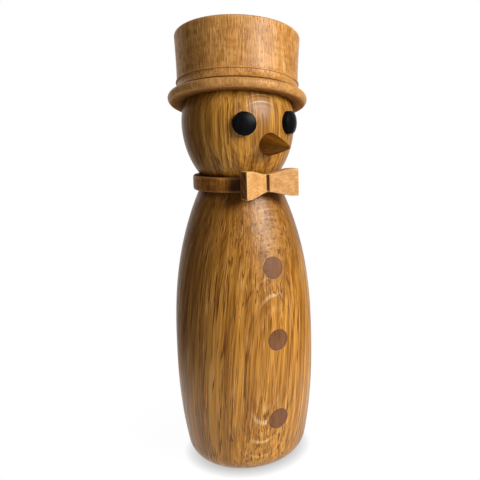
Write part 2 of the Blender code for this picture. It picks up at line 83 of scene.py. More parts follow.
class NodeWriter:
    """Writes nodes and links into one node tree. What it is given is a number, a tuple or a socket."""

    def __init__(self, tree: NodeTree) -> None:
        """Take the tree to write into."""
        self.tree = tree

    def add(
        self, kind: str, inputs: dict[str | int, object] | None = None, **settings: object
    ) -> Node:
        """Add a node.

        Args:
            kind: The node's type name.
            inputs: Values for its inputs, by socket name or index.
            settings: Values for the node's own properties.

        Returns:
            The new node.
        """
        node = self.tree.nodes.new(kind)
        for name, value in settings.items():
            setattr(node, name, value)
        for key, value in (inputs or {}).items():
            self.feed(node.inputs[key], value)
        return node

    def feed(self, socket: Socket, value: object) -> None:
        """Link a socket to an input, or set the input's own value.

        Args:
            socket: The input.
            value: A socket or a value.
        """
        if isinstance(value, Socket):
            self.tree.links.new(value, socket)
        else:
            socket.default_value = value

    def group(self, tree: NodeTree, inputs: dict[str, object]) -> Given:
        """Place a node group with its own inputs and return its outputs."""
        kind = self.tree.bl_idname.replace("Tree", "Group")
        return self.add(kind, inputs, node_tree=tree).outputs

    def maths(self, operation: str, *terms: object, clamp: bool = False) -> Socket:
        """Return the result of a math node, held between 0 and 1 where clamp says so."""
        inputs = dict(enumerate(terms))
        return self.add("ShaderNodeMath", inputs, operation=operation, use_clamp=clamp).outputs[0]

    def times(self, first: object, second: object) -> Socket:
        """Return a product."""
        return self.maths("MULTIPLY", first, second)

    def plus(self, first: object, second: object, clamp: bool = False) -> Socket:
        """Return a sum."""
        return self.maths("ADD", first, second, clamp=clamp)

    def minus(self, first: object, second: object, clamp: bool = False) -> Socket:
        """Return a difference."""
        return self.maths("SUBTRACT", first, second, clamp=clamp)

    def over(self, first: object, second: object, clamp: bool = False) -> Socket:
        """Return a quotient."""
        return self.maths("DIVIDE", first, second, clamp=clamp)

    def power(self, first: object, second: object) -> Socket:
        """Return a power."""
        return self.maths("POWER", first, second)

    def scaled(self, value: object, factor: object, offset: object, clamp: bool = False) -> Socket:
        """Return a value times a factor, plus an offset."""
        return self.maths("MULTIPLY_ADD", value, factor, offset, clamp=clamp)

    def total(self, start: object, *terms: tuple[object, float]) -> Socket:
        """Add up values that each have their own weight.

        Args:
            start: The value that the others are added to.
            terms: Each value with its weight.

        Returns:
            The sum.
        """
        for value, weight in terms:
            start = self.scaled(value, weight, start)
        return start

    def bell(self, value: object, width: float) -> Socket:
        """Return a bell curve of a value, 1 at nought and near nought beyond its width."""
        return self.maths("EXPONENT", self.times(self.power(self.over(value, width), 2.0), -1.0))

    def vector_maths(self, operation: str, *terms: object) -> Socket:
        """Return the result of a vector math node: a number for a length or a dot product."""
        node = self.add("ShaderNodeVectorMath", dict(enumerate(terms)), operation=operation)
        return node.outputs["Value" if operation in ("LENGTH", "DOT_PRODUCT") else "Vector"]

    def parts(self, vector: object) -> tuple[Socket, ...]:
        """Return a vector's three components."""
        return tuple(self.add("ShaderNodeSeparateXYZ", {0: vector}).outputs)

    def vector(self, x: object = 0.0, y: object = 0.0, z: object = 0.0) -> Socket:
        """Return a vector made of three values."""
        return self.add("ShaderNodeCombineXYZ", {0: x, 1: y, 2: z}).outputs[0]

    def step(
        self, value: object, low: object, high: object, to_low: float = 0.0, to_high: float = 1.0
    ) -> Socket:
        """Return a smooth step of a value, from one result to another between two limits."""
        inputs = {"Value": value, "From Min": low, "From Max": high, "To Min": to_low, "To Max": to_high}
        return self.add("ShaderNodeMapRange", inputs, interpolation_type="SMOOTHSTEP").outputs[0]

    def fall(self, value: object, low: object, high: object) -> Socket:
        """Return a smooth step of a value from 1 down to 0."""
        return self.step(value, low, high, 1.0, 0.0)

    def noise(self, vector: object, scale: float, detail: float = 2.0, rough: float = 0.5) -> Given:
        """Return a noise's outputs, its level first."""
        inputs = {"Vector": vector, "Scale": scale, "Detail": detail, "Roughness": rough}
        return self.add("ShaderNodeTexNoise", inputs).outputs

    def mixed(self, factor: object, first: object, second: object) -> Socket:
        """Mix two colours.

        Args:
            factor: The second colour's share.
            first: The first colour.
            second: The second colour.

        Returns:
            The mixed colour.
        """
        node = self.add("ShaderNodeMix", data_type="RGBA")
        self.feed(node.inputs[0], factor)
        for socket, value in ((node.inputs[6], first), (node.inputs[7], second)):
            self.feed(socket, value if isinstance(value, Socket) else (*value, 1.0))
        return node.outputs[2]

    def laid(self, colour: object, other: object, share: object, strength: float) -> Socket:
        """Return a colour with another laid over it, by a share and a strength."""
        return self.mixed(self.times(share, strength), colour, other)


FLOAT = "NodeSocketFloat"
INTEGER = "NodeSocketInt"
VECTOR = "NodeSocketVector"
COLOUR = "NodeSocketColor"
GEOMETRY = "NodeSocketGeometry"
MATERIAL = "NodeSocketMaterial"


def new_tree(
    name: str, kind: str, inputs: dict[str, str], outputs: dict[str, str]
) -> tuple[NodeWriter, Given, Result]:
    """Start a node group.

    Args:
        name: The group's name.
        kind: ShaderNodeTree or GeometryNodeTree.
        inputs: Socket type of each input, by its name.
        outputs: Socket type of each output, by its name.

    Returns:
        The tree's writer, what the tree is given and the sockets for its results.
    """
    tree = bpy.data.node_groups.new(name, kind)
    for sockets, direction in ((inputs, "INPUT"), (outputs, "OUTPUT")):
        for label, socket in sockets.items():
            tree.interface.new_socket(name=label, in_out=direction, socket_type=socket)
    writer = NodeWriter(tree)
    return writer, writer.add("NodeGroupInput").outputs, writer.add("NodeGroupOutput").inputs


class GeometryTrees:
    """The Geometry Nodes trees that make the figure's ruled and repeated pieces."""

    BARREL_SIZES = (
        "Height",
        "Belly Height",
        "Belly Radius",
        "Top Radius",
        "Shoulder Fullness",
        "Hip Radius",
        "Hip Fullness",
        "Base Radius",
        "Foot Height",
        "Foot Roundness",
        "Top Fillet",
    )
    MERGE_DISTANCE = 0.000001
    PLUG_SIDE_SEGMENTS = 4

    def __init__(self) -> None:
        """Build each tree once."""
        self.turning_group = self._turning_group()
        self.turning = self._turning()
        self.barrel_radius = self._barrel_radius()
        self.barrel = self._barrel()
        self.flush_plugs = self._flush_plugs()
        self.plugs_round_head = self._plugs_round_head()

    def _finish_tree(self, writer: NodeWriter, piece: Socket, given: Given, result: Result) -> None:
        """End a tree in Realize Instances, smooth shading and Set Material.

        Args:
            writer: The tree's writer.
            piece: The geometry that the tree has made.
            given: What the tree is given, its material among them.
            result: The sockets for the tree's results.
        """
        realized = writer.add("GeometryNodeRealizeInstances", {0: piece}).outputs[0]
        smooth = writer.add("GeometryNodeSetShadeSmooth", {"Geometry": realized}).outputs[0]
        dressed = {"Geometry": smooth, "Material": given["Material"]}
        writer.feed(result["Piece"], writer.add("GeometryNodeSetMaterial", dressed).outputs[0])

    def _turned_grid(
        self, writer: NodeWriter, segments: Socket, rings: Socket
    ) -> tuple[Socket, Socket, Socket]:
        """Start a turned piece from a flat grid.

        Args:
            writer: The tree's writer.
            segments: Facets round the piece.
            rings: Points along its outline.

        Returns:
            The grid's mesh, each point's angle round +Z and its share of the way along the outline.
        """
        sizes = {"Size X": 1.0, "Size Y": 1.0, "Vertices X": writer.plus(segments, 1.0), "Vertices Y": rings}
        grid = writer.add("GeometryNodeMeshGrid", sizes).outputs["Mesh"]
        x, y, _ = writer.parts(writer.add("GeometryNodeInputPosition").outputs[0])
        turn = writer.times(writer.plus(x, 0.5), -math.tau)
        return grid, turn, writer.plus(y, 0.5)

    def _wrapped(
        self, writer: NodeWriter, mesh: Socket, turn: Socket, radius: Socket, height: Socket
    ) -> Socket:
        """Roll a grid round +Z and merge its seam and its poles.

        Args:
            writer: The tree's writer.
            mesh: The grid.
            turn: Each point's angle round +Z.
            radius: Each point's distance from the axis.
            height: Each point's height.

        Returns:
            The rolled mesh.
        """
        x = writer.times(radius, writer.maths("COSINE", turn))
        y = writer.times(radius, writer.maths("SINE", turn))
        places = {"Geometry": mesh, "Position": writer.vector(x, y, height)}
        rolled = writer.add("GeometryNodeSetPosition", places).outputs[0]
        near = {"Geometry": rolled, "Distance": self.MERGE_DISTANCE}
        return writer.add("GeometryNodeMergeByDistance", near).outputs[0]

    def _turning_group(self) -> NodeTree:
        """Turn an outline of (radius, 0, height) points, top to bottom down its outer side, about +Z.

        Returns:
            The tree.
        """
        inputs = {"Outline": GEOMETRY, "Segments": INTEGER}
        writer, given, result = new_tree("turn_outline", "GeometryNodeTree", inputs, {"Mesh": GEOMETRY})
        count = writer.add("GeometryNodeAttributeDomainSize", {0: given["Outline"]}).outputs["Point Count"]
        mesh, turn, along = self._turned_grid(writer, given["Segments"], count)
        index = writer.maths("ROUND", writer.times(along, writer.minus(count, 1.0)))
        sample = writer.add("GeometryNodeSampleIndex", data_type="FLOAT_VECTOR", domain="POINT")
        writer.feed(sample.inputs["Geometry"], given["Outline"])
        writer.feed(sample.inputs["Value"], writer.add("GeometryNodeInputPosition").outputs[0])
        writer.feed(sample.inputs["Index"], index)
        radius, _, height = writer.parts(sample.outputs["Value"])
        writer.feed(result["Mesh"], self._wrapped(writer, mesh, turn, radius, height))
        return writer.tree

    def _turned_outline(self, writer: NodeWriter, given: Given) -> Socket:
        """Return the outline that a tree is given, turned."""
        return writer.group(self.turning_group, {name: given[name] for name in ("Outline", "Segments")})[0]

    def _turning(self) -> NodeTree:
        """Turn the object's own outline into a closed piece.

        Returns:
            The tree.
        """
        inputs = {"Outline": GEOMETRY, "Segments": INTEGER, "Material": MATERIAL}
        writer, given, result = new_tree("turned_piece", "GeometryNodeTree", inputs, {"Piece": GEOMETRY})
        self._finish_tree(writer, self._turned_outline(writer, given), given, result)
        return writer.tree

    def _barrel_radius(self) -> NodeTree:
        """Work out the barrel's radius at a height, with its rounded foot and top edge.

        Returns:
            The tree.
        """
        inputs = {"At Height": FLOAT} | {name: FLOAT for name in self.BARREL_SIZES}
        writer, given, result = new_tree("barrel_radius", "GeometryNodeTree", inputs, {"Radius": FLOAT})
        minus, times, over, power = writer.minus, writer.times, writer.over, writer.power
        height, belly, fillet = given["At Height"], given["Belly Radius"], given["Top Fillet"]

        above = minus(height, given["Belly Height"])
        upper = minus(given["Height"], given["Belly Height"])
        shoulder = power(over(above, upper, clamp=True), given["Shoulder Fullness"])
        below = over(times(above, -1.0), given["Belly Height"], clamp=True)
        shoulder_loss = times(minus(belly, given["Top Radius"]), shoulder)
        hip_loss = times(minus(belly, given["Hip Radius"]), power(below, given["Hip Fullness"]))
        side = minus(minus(belly, shoulder_loss), hip_loss)

        into_foot = minus(1.0, over(height, given["Foot Height"]), clamp=True)
        outside = minus(1.0, power(into_foot, given["Foot Roundness"]), clamp=True)
        root = power(outside, over(1.0, given["Foot Roundness"]))
        foot_loss = times(minus(side, given["Base Radius"]), minus(1.0, root))

        into_edge = minus(1.0, over(minus(given["Height"], height), fillet), clamp=True)
        rounding = writer.maths("SQRT", minus(1.0, power(into_edge, 2.0), clamp=True))
        edge_loss = times(fillet, minus(1.0, rounding))
        writer.feed(result["Radius"], minus(minus(side, foot_loss), edge_loss))
        return writer.tree

    def _radius_at(self, writer: NodeWriter, given: Given, height: Socket) -> Socket:
        """Return the barrel's radius at a height inside another tree."""
        sizes = {name: given[name] for name in self.BARREL_SIZES}
        return writer.group(self.barrel_radius, {"At Height": height} | sizes)["Radius"]

    def _barrel(self) -> NodeTree:
        """Make the body from its rule: rings close up at the foot and at the top edge.

        Returns:
            The tree.
        """
        inputs = {"Geometry": GEOMETRY} | {name: FLOAT for name in self.BARREL_SIZES}
        inputs |= {"Cap Share": FLOAT, "Segments": INTEGER, "Rings": INTEGER, "Material": MATERIAL}
        writer, given, result = new_tree("barrel_body", "GeometryNodeTree", inputs, {"Piece": GEOMETRY})
        mesh, turn, along = self._turned_grid(writer, given["Segments"], given["Rings"])

        sides = writer.minus(1.0, writer.times(given["Cap Share"], 2.0))
        up_side = writer.over(writer.minus(along, given["Cap Share"]), sides, clamp=True)
        swing = writer.maths("COSINE", writer.times(up_side, math.pi))
        height = writer.times(given["Height"], writer.times(writer.plus(1.0, swing), 0.5))
        ends = writer.maths("MINIMUM", along, writer.minus(1.0, along))
        in_cap = writer.over(ends, given["Cap Share"], clamp=True)
        radius = writer.times(self._radius_at(writer, given, height), in_cap)
        self._finish_tree(writer, self._wrapped(writer, mesh, turn, radius, height), given, result)
        return writer.tree

    def _flush_plugs(self) -> NodeTree:
        """Set a plug at each of the object's points, its face following the barrel.

        Returns:
            The tree.
        """
        inputs = {"Places": GEOMETRY} | {name: FLOAT for name in self.BARREL_SIZES}
        inputs |= {"Plug Radius": FLOAT, "Plug Depth": FLOAT, "Segments": INTEGER, "Face Rings": INTEGER}
        inputs |= {"Material": MATERIAL}
        writer, given, result = new_tree("flush_plugs", "GeometryNodeTree", inputs, {"Piece": GEOMETRY})
        sizes = {"Vertices": given["Segments"], "Fill Segments": given["Face Rings"]}
        sizes |= {"Side Segments": self.PLUG_SIDE_SEGMENTS}
        sizes |= {"Radius": given["Plug Radius"], "Depth": given["Plug Depth"]}
        plug = writer.add("GeometryNodeMeshCylinder", sizes).outputs["Mesh"]
        half = writer.times(given["Plug Depth"], 0.5)
        facing = {"Geometry": plug, "Translation": writer.vector(0.0, half)}
        facing |= {"Rotation": (math.pi / 2, 0.0, 0.0)}
        laid = writer.add("GeometryNodeTransform", facing).outputs[0]
        placed = writer.add("GeometryNodeInstanceOnPoints", {"Points": given["Places"], "Instance": laid})
        realized = writer.add("GeometryNodeRealizeInstances", {0: placed.outputs[0]}).outputs[0]
        x, y, z = writer.parts(writer.add("GeometryNodeInputPosition").outputs[0])
        radius = self._radius_at(writer, given, z)
        across = writer.minus(writer.power(radius, 2.0), writer.power(x, 2.0))
        surface = writer.minus(y, writer.maths("SQRT", across))
        position = {"Geometry": realized, "Position": writer.vector(x, surface, z)}
        moved = writer.add("GeometryNodeSetPosition", position).outputs[0]
        self._finish_tree(writer, moved, given, result)
        return writer.tree

    def _plugs_round_head(self) -> NodeTree:
        """Turn the object's outline and set one copy on each side of the face.

        Returns:
            The tree.
        """
        inputs = {"Outline": GEOMETRY, "Segments": INTEGER, "Spread": FLOAT, "Turn": FLOAT}
        inputs |= {"Surface Radius": FLOAT, "Height": FLOAT, "Material": MATERIAL}
        writer, given, result = new_tree("plugs_round_head", "GeometryNodeTree", inputs, {"Piece": GEOMETRY})
        turned = self._turned_outline(writer, given)
        side = writer.scaled(writer.add("GeometryNodeInputIndex").outputs[0], 2.0, -1.0)
        heading = writer.scaled(side, given["Spread"], given["Turn"])
        x = writer.times(given["Surface Radius"], writer.maths("SINE", heading))
        y = writer.times(given["Surface Radius"], writer.maths("COSINE", heading))
        place = writer.vector(x, writer.times(y, -1.0), given["Height"])
        points = writer.add("GeometryNodePoints", {"Count": 2, "Position": place}).outputs[0]
        facing = writer.vector(math.pi / 2, 0.0, heading)
        copies = {"Points": points, "Instance": turned, "Rotation": facing}
        placed = writer.add("GeometryNodeInstanceOnPoints", copies).outputs[0]
        self._finish_tree(writer, placed, given, result)
        return writer.tree


def outline_mesh(name: str, points: Outline) -> Mesh:
    """Make a mesh whose vertices are an outline's points, in order.

    Args:
        name: The mesh's name.
        points: The outline.

    Returns:
        The mesh.
    """
    mesh = bpy.data.meshes.new(name)
    mesh.from_pydata([(radius, 0.0, height) for radius, height in points], [], [])
    return mesh


def mesh_object(name: str, mesh: Mesh, material: Material) -> Object:
    """Put a mesh in the scene as an object.

    Args:
        name: The object's name.
        mesh: Its mesh.
        material: Its material.

    Returns:
        The object.
    """
    mesh.materials.append(material)
    made = bpy.data.objects.new(name, mesh)
    bpy.context.scene.collection.objects.link(made)
    return made


def apply_modifiers(made: Object) -> None:
    """Give an object the plain mesh that its modifiers make, and clear them.

    Args:
        made: The object.
    """
    bpy.context.view_layer.update()
    graph = bpy.context.evaluated_depsgraph_get()
    plain = bpy.data.meshes.new_from_object(made.evaluated_get(graph))
    made.modifiers.clear()
    made.data = plain
    plain.name = made.name


def grown(
    name: str, mesh: Mesh, tree: NodeTree, values: dict[str, object]
) -> Object:
    """Run a Geometry Nodes tree on a mesh and keep the plain result.

    Args:
        name: The finished piece's name.
        mesh: What the tree starts from.
        tree: The tree to run.
        values: The tree's inputs, by socket name.

    Returns:
        An object with a plain mesh and no modifier.
    """
    made = bpy.data.objects.new(name, mesh)
    bpy.context.scene.collection.objects.link(made)
    modifier = made.modifiers.new(tree.name, "NODES")
    modifier.node_group = tree
    for item in tree.interface.items_tree:
        if item.item_type == "SOCKET" and item.in_out == "INPUT" and item.name in values:
            modifier[item.identifier] = values[item.name]
    apply_modifiers(made)
    return made


def arc(centre: tuple[float, float], radius: float, start: float, end: float, count: int) -> Outline:
    """Work out points on an arc, both ends among them.

    Args:
        centre: The arc's centre.
        radius: Its radius.
        start: The angle of its first point, in degrees.
        end: The angle of its last point.
        count: Steps along it.

    Returns:
        The points.
    """
    points = []
    for i in range(count + 1):
        angle = math.radians(start + (end - start) * i / count)
        points.append((centre[0] + radius * math.cos(angle), centre[1] + radius * math.sin(angle)))
    return points


def straight(start: tuple[float, float], end: tuple[float, float], count: int) -> Outline:
    """Return the points strictly between two points, evenly spaced."""
    steps = [i / count for i in range(1, count)]
    return [(start[0] + (end[0] - start[0]) * s, start[1] + (end[1] - start[1]) * s) for s in steps]


def stepped_hole(top: float, *steps: tuple[float, float]) -> Outline:
    """Return a round hole's outline.

    Args:
        top: Where the hole's tool starts, above the surface.
        steps: The radius and the floor of each of its steps, from the widest down.

    Returns:
        The outline, top to bottom.
    """
    points = [(0.0, top)]
    for radius, floor in steps:
        points += [(radius, top), (radius, floor)]
        top = floor
    return points + [(0.0, top)]


def outward(heading: float, height: float, distance: float = 0.0, droop: float = 0.0) -> Matrix:
    """Work out a frame at a distance from the turning axis whose +Z points outwards.

    Args:
        heading: Where it faces, in degrees.
        height: Its height.
        distance: Its distance from the axis.
        droop: How far it points down, in degrees.

    Returns:
        The frame.
    """
    turn = Matrix.Rotation(math.radians(heading), 4, "Z")
    face_front = Matrix.Rotation(math.radians(90.0), 4, "X")
    bow_down = Matrix.Rotation(math.radians(droop), 4, "X")
    place = Matrix.Translation((0.0, 0.0, height))
    return place @ turn @ face_front @ Matrix.Translation((0.0, 0.0, distance)) @ bow_down


def cut(made: Object, outline: Outline, place: Matrix, trees: GeometryTrees, segments: int) -> None:
    """Cut a turned hole out of a piece.

    Args:
        made: The piece to cut.
        outline: The hole's outline, top to bottom.
        place: Where the hole's axis stands.
        trees: The trees that turn the hole.
        segments: Facets round the hole.
    """
    tool = grown("tool", outline_mesh("tool", outline), trees.turning, {"Segments": segments})
    tool.data.transform(place)
    modifier = made.modifiers.new("cut", "BOOLEAN")
    modifier.object = tool
    modifier.operation = "DIFFERENCE"
    modifier.solver = "EXACT"
    apply_modifiers(made)
    bpy.data.objects.remove(tool)


EDGE_RUB = "edge_rub"
CREASE_DIRT_AND_SHADE = "crease_dirt_and_shade"
SHARP_ANGLE = 38.0
NO_SPACING = 1e-7


def signed_bend(edge: bmesh.types.BMEdge) -> float:
    """Work out the surface's curvature across an edge.

    Args:
        edge: An edge between two faces.

    Returns:
        The curvature in radians per metre, positive where it is convex.
    """
    first, second = edge.link_faces
    spacing = (first.calc_center_median() - second.calc_center_median()).length
    return edge.calc_face_angle_signed(0.0) / max(spacing, NO_SPACING)


def spread_marks(shape: bmesh.types.BMesh, marks: list[float]) -> list[float]:
    """Spread a mark over its neighbours.

    Args:
        shape: The piece's mesh.
        marks: How full the mark is at each vertex.

    Returns:
        Each vertex's mark, averaged with that of its neighbours.
    """
    spread = []
    for corner in shape.verts:
        near = [marks[edge.other_vert(corner).index] for edge in corner.link_edges]
        spread.append((marks[corner.index] + sum(near) / max(1, len(near))) / 2)
    return spread


def mark_wear_and_crease_shade(
    mesh: Mesh, creases: float, soft: float = 150.0, hard: float = 900.0, passes: int = 2
) -> None:
    """Store where edges are rubbed and where creases are darkened with grime and painted shade, from the
    surface's curvature.

    A mark that the mesh already holds is kept where it is stronger.

    Args:
        mesh: The piece's mesh.
        creases: How full the mark of a plain crease is.
        soft: Curvature, in radians per metre, below which nothing shows.
        hard: Curvature at which the mark is full.
        passes: Times that the marks are spread over their neighbours.
    """
    shape = bmesh.new()
    shape.from_mesh(mesh)
    shape.verts.ensure_lookup_table()
    for name, sign, full in ((EDGE_RUB, 1.0, 1.0), (CREASE_DIRT_AND_SHADE, -1.0, creases)):
        held = mesh.attributes.get(name)
        kept = [item.value for item in held.data] if held else [0.0] * len(shape.verts)
        marks = [0.0] * len(shape.verts)
        for edge in shape.edges:
            if len(edge.link_faces) != 2:
                continue
            share = (signed_bend(edge) * sign - soft) / (hard - soft)
            for corner in edge.verts:
                marks[corner.index] = max(marks[corner.index], full * min(1.0, share))
        for _ in range(passes):
            marks = spread_marks(shape, marks)
        layer = held or mesh.attributes.new(name, "FLOAT", "POINT")
        layer.data.foreach_set("value", [max(pair) for pair in zip(marks, kept)])
    shape.free()


def finish_piece(
    made: Object, slot: Slot, carrier: Carrier, nodes: tuple[str, ...], creases: float = 1.0
) -> None:
    """Shade a piece, mark its wear and hand it to the frame.

    Args:
        made: The finished object.
        slot: The record's material slot.
        carrier: The body it rides on.
        nodes: The frame's nodes that it stands for.
        creases: How full the grime and painted shade in its plain creases are.
    """
    mesh = made.data
    mesh.shade_smooth()
    mesh.set_sharp_from_angle(angle=math.radians(SHARP_ANGLE))
    mark_wear_and_crease_shade(mesh, creases)
    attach(made, carrier.value)
    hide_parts(*nodes)
    LOG.info("%s: %d faces, %s, on %s", made.name, len(mesh.polygons), slot.value, carrier.value)


class GrainGroups:
    """Shader node groups for wood, shared by the finishes and each built once.

    A pair of values is where a smooth step starts and ends, and a level or a share runs from 0 to 1.
    RING_LUCK sets how strong each ring's line is: its step from ring to ring, and where it starts.
    MEAN_RADIUS is where streaks that follow the outline keep their own width.
    RAY_RADIUS is how far from the pith the spacing of the rays is measured.
    """

    RING_LUCK = (0.153, 0.07)
    STRONG_LUCK = (0.15, 0.90)
    SEAM_LUCK = (0.45, 0.75)
    WEAK_LINE = 0.35
    LINE_CORE = 0.35
    WANDER_STRETCH = (1.0, 1.0, 0.30)
    WANDER_SCALE = 45.0
    FRONT_EDGE = (0.004, -0.004)
    ARC_REACH = 0.060
    EARLY_START = (0.0, 0.06)
    EARLY_END = (0.25, 0.62)
    MEAN_RADIUS = 0.030
    OPEN_REACH = 0.40
    VESSEL_LUCK = (0.7, 0.5)
    VESSEL_CORE = 0.55
    STREAK_EDGE = (0.38, 0.62)
    THREAD_STRETCH = (0.30, 0.30, 0.25)
    THREAD_SHIFT = (9.0, 4.0, 0.0)
    LINE_LEVEL = 0.50
    LINE_EDGE = (0.008, 0.030)
    LINE_BREAKS = (-0.14, 0.06)
    GLEAM_LEVEL = 0.56
    GLEAM_EDGE = (0.006, 0.024)
    GLEAM_BREAKS = (0.40, 0.60)
    RAY_RADIUS = 0.09
    RAY_EDGE = (0.12, 0.24)
    RAY_LUCK = (0.35, 0.65)
    END_EDGE = (0.72, 0.97)
    SHOULDER_EDGE = (0.14, 0.30)
    PATCH_SCALE = 260.0
    PATCH_EDGE = (0.35, 0.65)

    def __init__(self) -> None:
        """Build each group once."""
        self.rings = self._growth_rings()
        self.vessels = self._vessels()
        self.fibres = self._fibres()
        self.rays = self._rays()
        self.lathe_marks = self._lathe_marks()
        self.end_grain = self._end_grain()
        self.dark_zone = self._dark_zone()
        self.wear_and_crease_shade = self._wear_and_crease_shade()

    def _facing_front(self, writer: NodeWriter, place: Socket, heading: Socket) -> Socket:
        """Return a place turned round +Z until a heading is the front."""
        inputs = {"Vector": place, "Angle": writer.times(heading, -1.0)}
        return writer.add("ShaderNodeVectorRotate", inputs, rotation_type="Z_AXIS").outputs[0]

    def _in_units(self, writer: NodeWriter, place: Socket, width: Socket, length: Socket) -> Socket:
        """Return a place measured in widths across the grain and in lengths along it."""
        across = writer.over(1.0, width)
        return writer.vector_maths("MULTIPLY", place, writer.vector(across, across, writer.over(1.0, length)))

    def _cells(self, writer: NodeWriter, place: Socket) -> Given:
        """Return the outputs of Voronoi cells that are one unit apart."""
        settings = {"voronoi_dimensions": "3D", "feature": "F1"}
        return writer.add("ShaderNodeTexVoronoi", {"Vector": place, "Scale": 1.0}, **settings).outputs

    def _growth_rings(self) -> NodeTree:
        """Rings are cylinders about an upright pith that stands behind the figure.

        Returns:
            The group.
        """
        sizes = ("Heading", "Spiral", "Pith Distance", "Ring Width", "Ring Shift", "Waviness", "Line Width")
        inputs = {"Vector": VECTOR} | {name: FLOAT for name in (*sizes, "Follow", "Open Front")}
        shares = ("Early", "Arcs", "Seams", "Tone", "Facing")
        outputs = {"Grain": VECTOR, "Polar": VECTOR} | {name: FLOAT for name in shares}
        writer, given, result = new_tree("growth_rings", "ShaderNodeTree", inputs, outputs)
        times = writer.times

        height = writer.parts(given["Vector"])[2]
        heading = writer.scaled(given["Spiral"], height, given["Heading"])
        turned = self._facing_front(writer, given["Vector"], heading)
        stretched = writer.vector_maths("MULTIPLY", turned, self.WANDER_STRETCH)
        wander = writer.noise(stretched, self.WANDER_SCALE, 1.0)["Color"]
        drift = writer.vector_maths("SUBTRACT", wander, (0.5, 0.5, 0.5))
        waviness = writer.vector(given["Waviness"], given["Waviness"])
        grain = writer.vector_maths("ADD", turned, writer.vector_maths("MULTIPLY", drift, waviness))
        x, y, _ = writer.parts(grain)
        from_pith = writer.minus(given["Pith Distance"], y)
        angle = writer.maths("ARCTAN2", x, from_pith)
        radius = writer.vector_maths("LENGTH", writer.vector(x, from_pith))
        front_side = writer.step(y, *self.FRONT_EDGE)
        facing = times(writer.bell(angle, self.ARC_REACH), front_side)
        writer.feed(result["Grain"], self._drawn_in(writer, grain, front_side, given))
        writer.feed(result["Polar"], writer.vector(angle, radius, height))
        writer.feed(result["Facing"], facing)

        count = writer.over(writer.minus(radius, given["Ring Shift"]), given["Ring Width"])
        share = writer.maths("FRACT", count)
        early = times(writer.step(share, *self.EARLY_START), writer.fall(share, *self.EARLY_END))
        writer.feed(result["Early"], early)
        ring = writer.maths("FLOOR", count)
        tone = writer.add("ShaderNodeTexWhiteNoise", {"W": ring}, noise_dimensions="1D")
        writer.feed(result["Tone"], tone.outputs["Value"])

        main_line, main_luck = self._ring_line(writer, count, 0.0, given)
        half_line, half_luck = self._ring_line(writer, count, 0.5, given)
        strong = times(main_line, writer.step(main_luck, *self.STRONG_LUCK))
        weak = times(half_line, times(half_luck, self.WEAK_LINE))
        writer.feed(result["Arcs"], times(writer.maths("MAXIMUM", strong, weak), facing))
        seams = times(main_line, writer.step(main_luck, *self.SEAM_LUCK))
        writer.feed(result["Seams"], times(seams, writer.minus(1.0, facing)))
        return writer.tree

    def _drawn_in(self, writer: NodeWriter, grain: Socket, front_side: Socket, given: Given) -> Socket:
        """Draw streaks in where the outline is drawn in, as far as the group's inputs say.

        Args:
            writer: The group's writer.
            grain: A place along the grain.
            front_side: The share of a place that lies in front of the axis.
            given: The group's inputs.

        Returns:
            The place, nearer to the axis or further from it.
        """
        x, y, _ = writer.parts(grain)
        radius = writer.vector_maths("LENGTH", writer.vector(x, y))
        middle = writer.bell(writer.over(x, radius), self.OPEN_REACH)
        at_front = writer.times(writer.times(middle, front_side), given["Open Front"])
        follow = writer.times(given["Follow"], writer.minus(1.0, at_front))
        drawn = writer.power(writer.over(self.MEAN_RADIUS, radius), follow)
        return writer.vector_maths("MULTIPLY", grain, writer.vector(drawn, drawn, 1.0))

    def _ring_line(
        self, writer: NodeWriter, count: Socket, offset: float, given: Given
    ) -> tuple[Socket, Socket]:
        """Draw a thin line along each ring.

        Args:
            writer: The group's writer.
            count: Rings counted outwards.
            offset: Where between two rings the line stands.
            given: The group's inputs.

        Returns:
            The line, and its ring's luck.
        """
        shifted = writer.plus(count, offset)
        index = writer.maths("ROUND", shifted)
        distance = writer.times(writer.maths("ABSOLUTE", writer.minus(shifted, index)), given["Ring Width"])
        core = writer.times(given["Line Width"], self.LINE_CORE)
        line = writer.fall(distance, core, given["Line Width"])
        luck_step, luck_start = self.RING_LUCK
        return line, writer.maths("FRACT", writer.scaled(index, luck_step, luck_start + offset))

    def _vessels(self) -> NodeTree:
        """Long thin vessels along the grain: dashes on the sides and dots where the wood is cut across.

        Returns:
            The group.
        """
        inputs = {"Vector": VECTOR, "Spacing": FLOAT, "Length": FLOAT, "Size": FLOAT, "Where": FLOAT}
        writer, given, result = new_tree("vessels", "ShaderNodeTree", inputs, {"Pores": FLOAT})
        place = self._in_units(writer, given["Vector"], given["Spacing"], given["Length"])
        cells = self._cells(writer, place)
        luck = writer.parts(cells["Color"])[0]
        size = writer.times(given["Size"], writer.scaled(luck, *self.VESSEL_LUCK))
        hollow = writer.fall(cells["Distance"], writer.times(size, self.VESSEL_CORE), size)
        writer.feed(result["Pores"], writer.maths("MULTIPLY", hollow, given["Where"], clamp=True))
        return writer.tree

    def _thread(self, writer: NodeWriter, level: Socket, middle: float, edge: tuple[float, float]) -> Socket:
        """Return a thin thread where a level passes through its middle."""
        return writer.fall(writer.maths("ABSOLUTE", writer.minus(level, middle)), *edge)

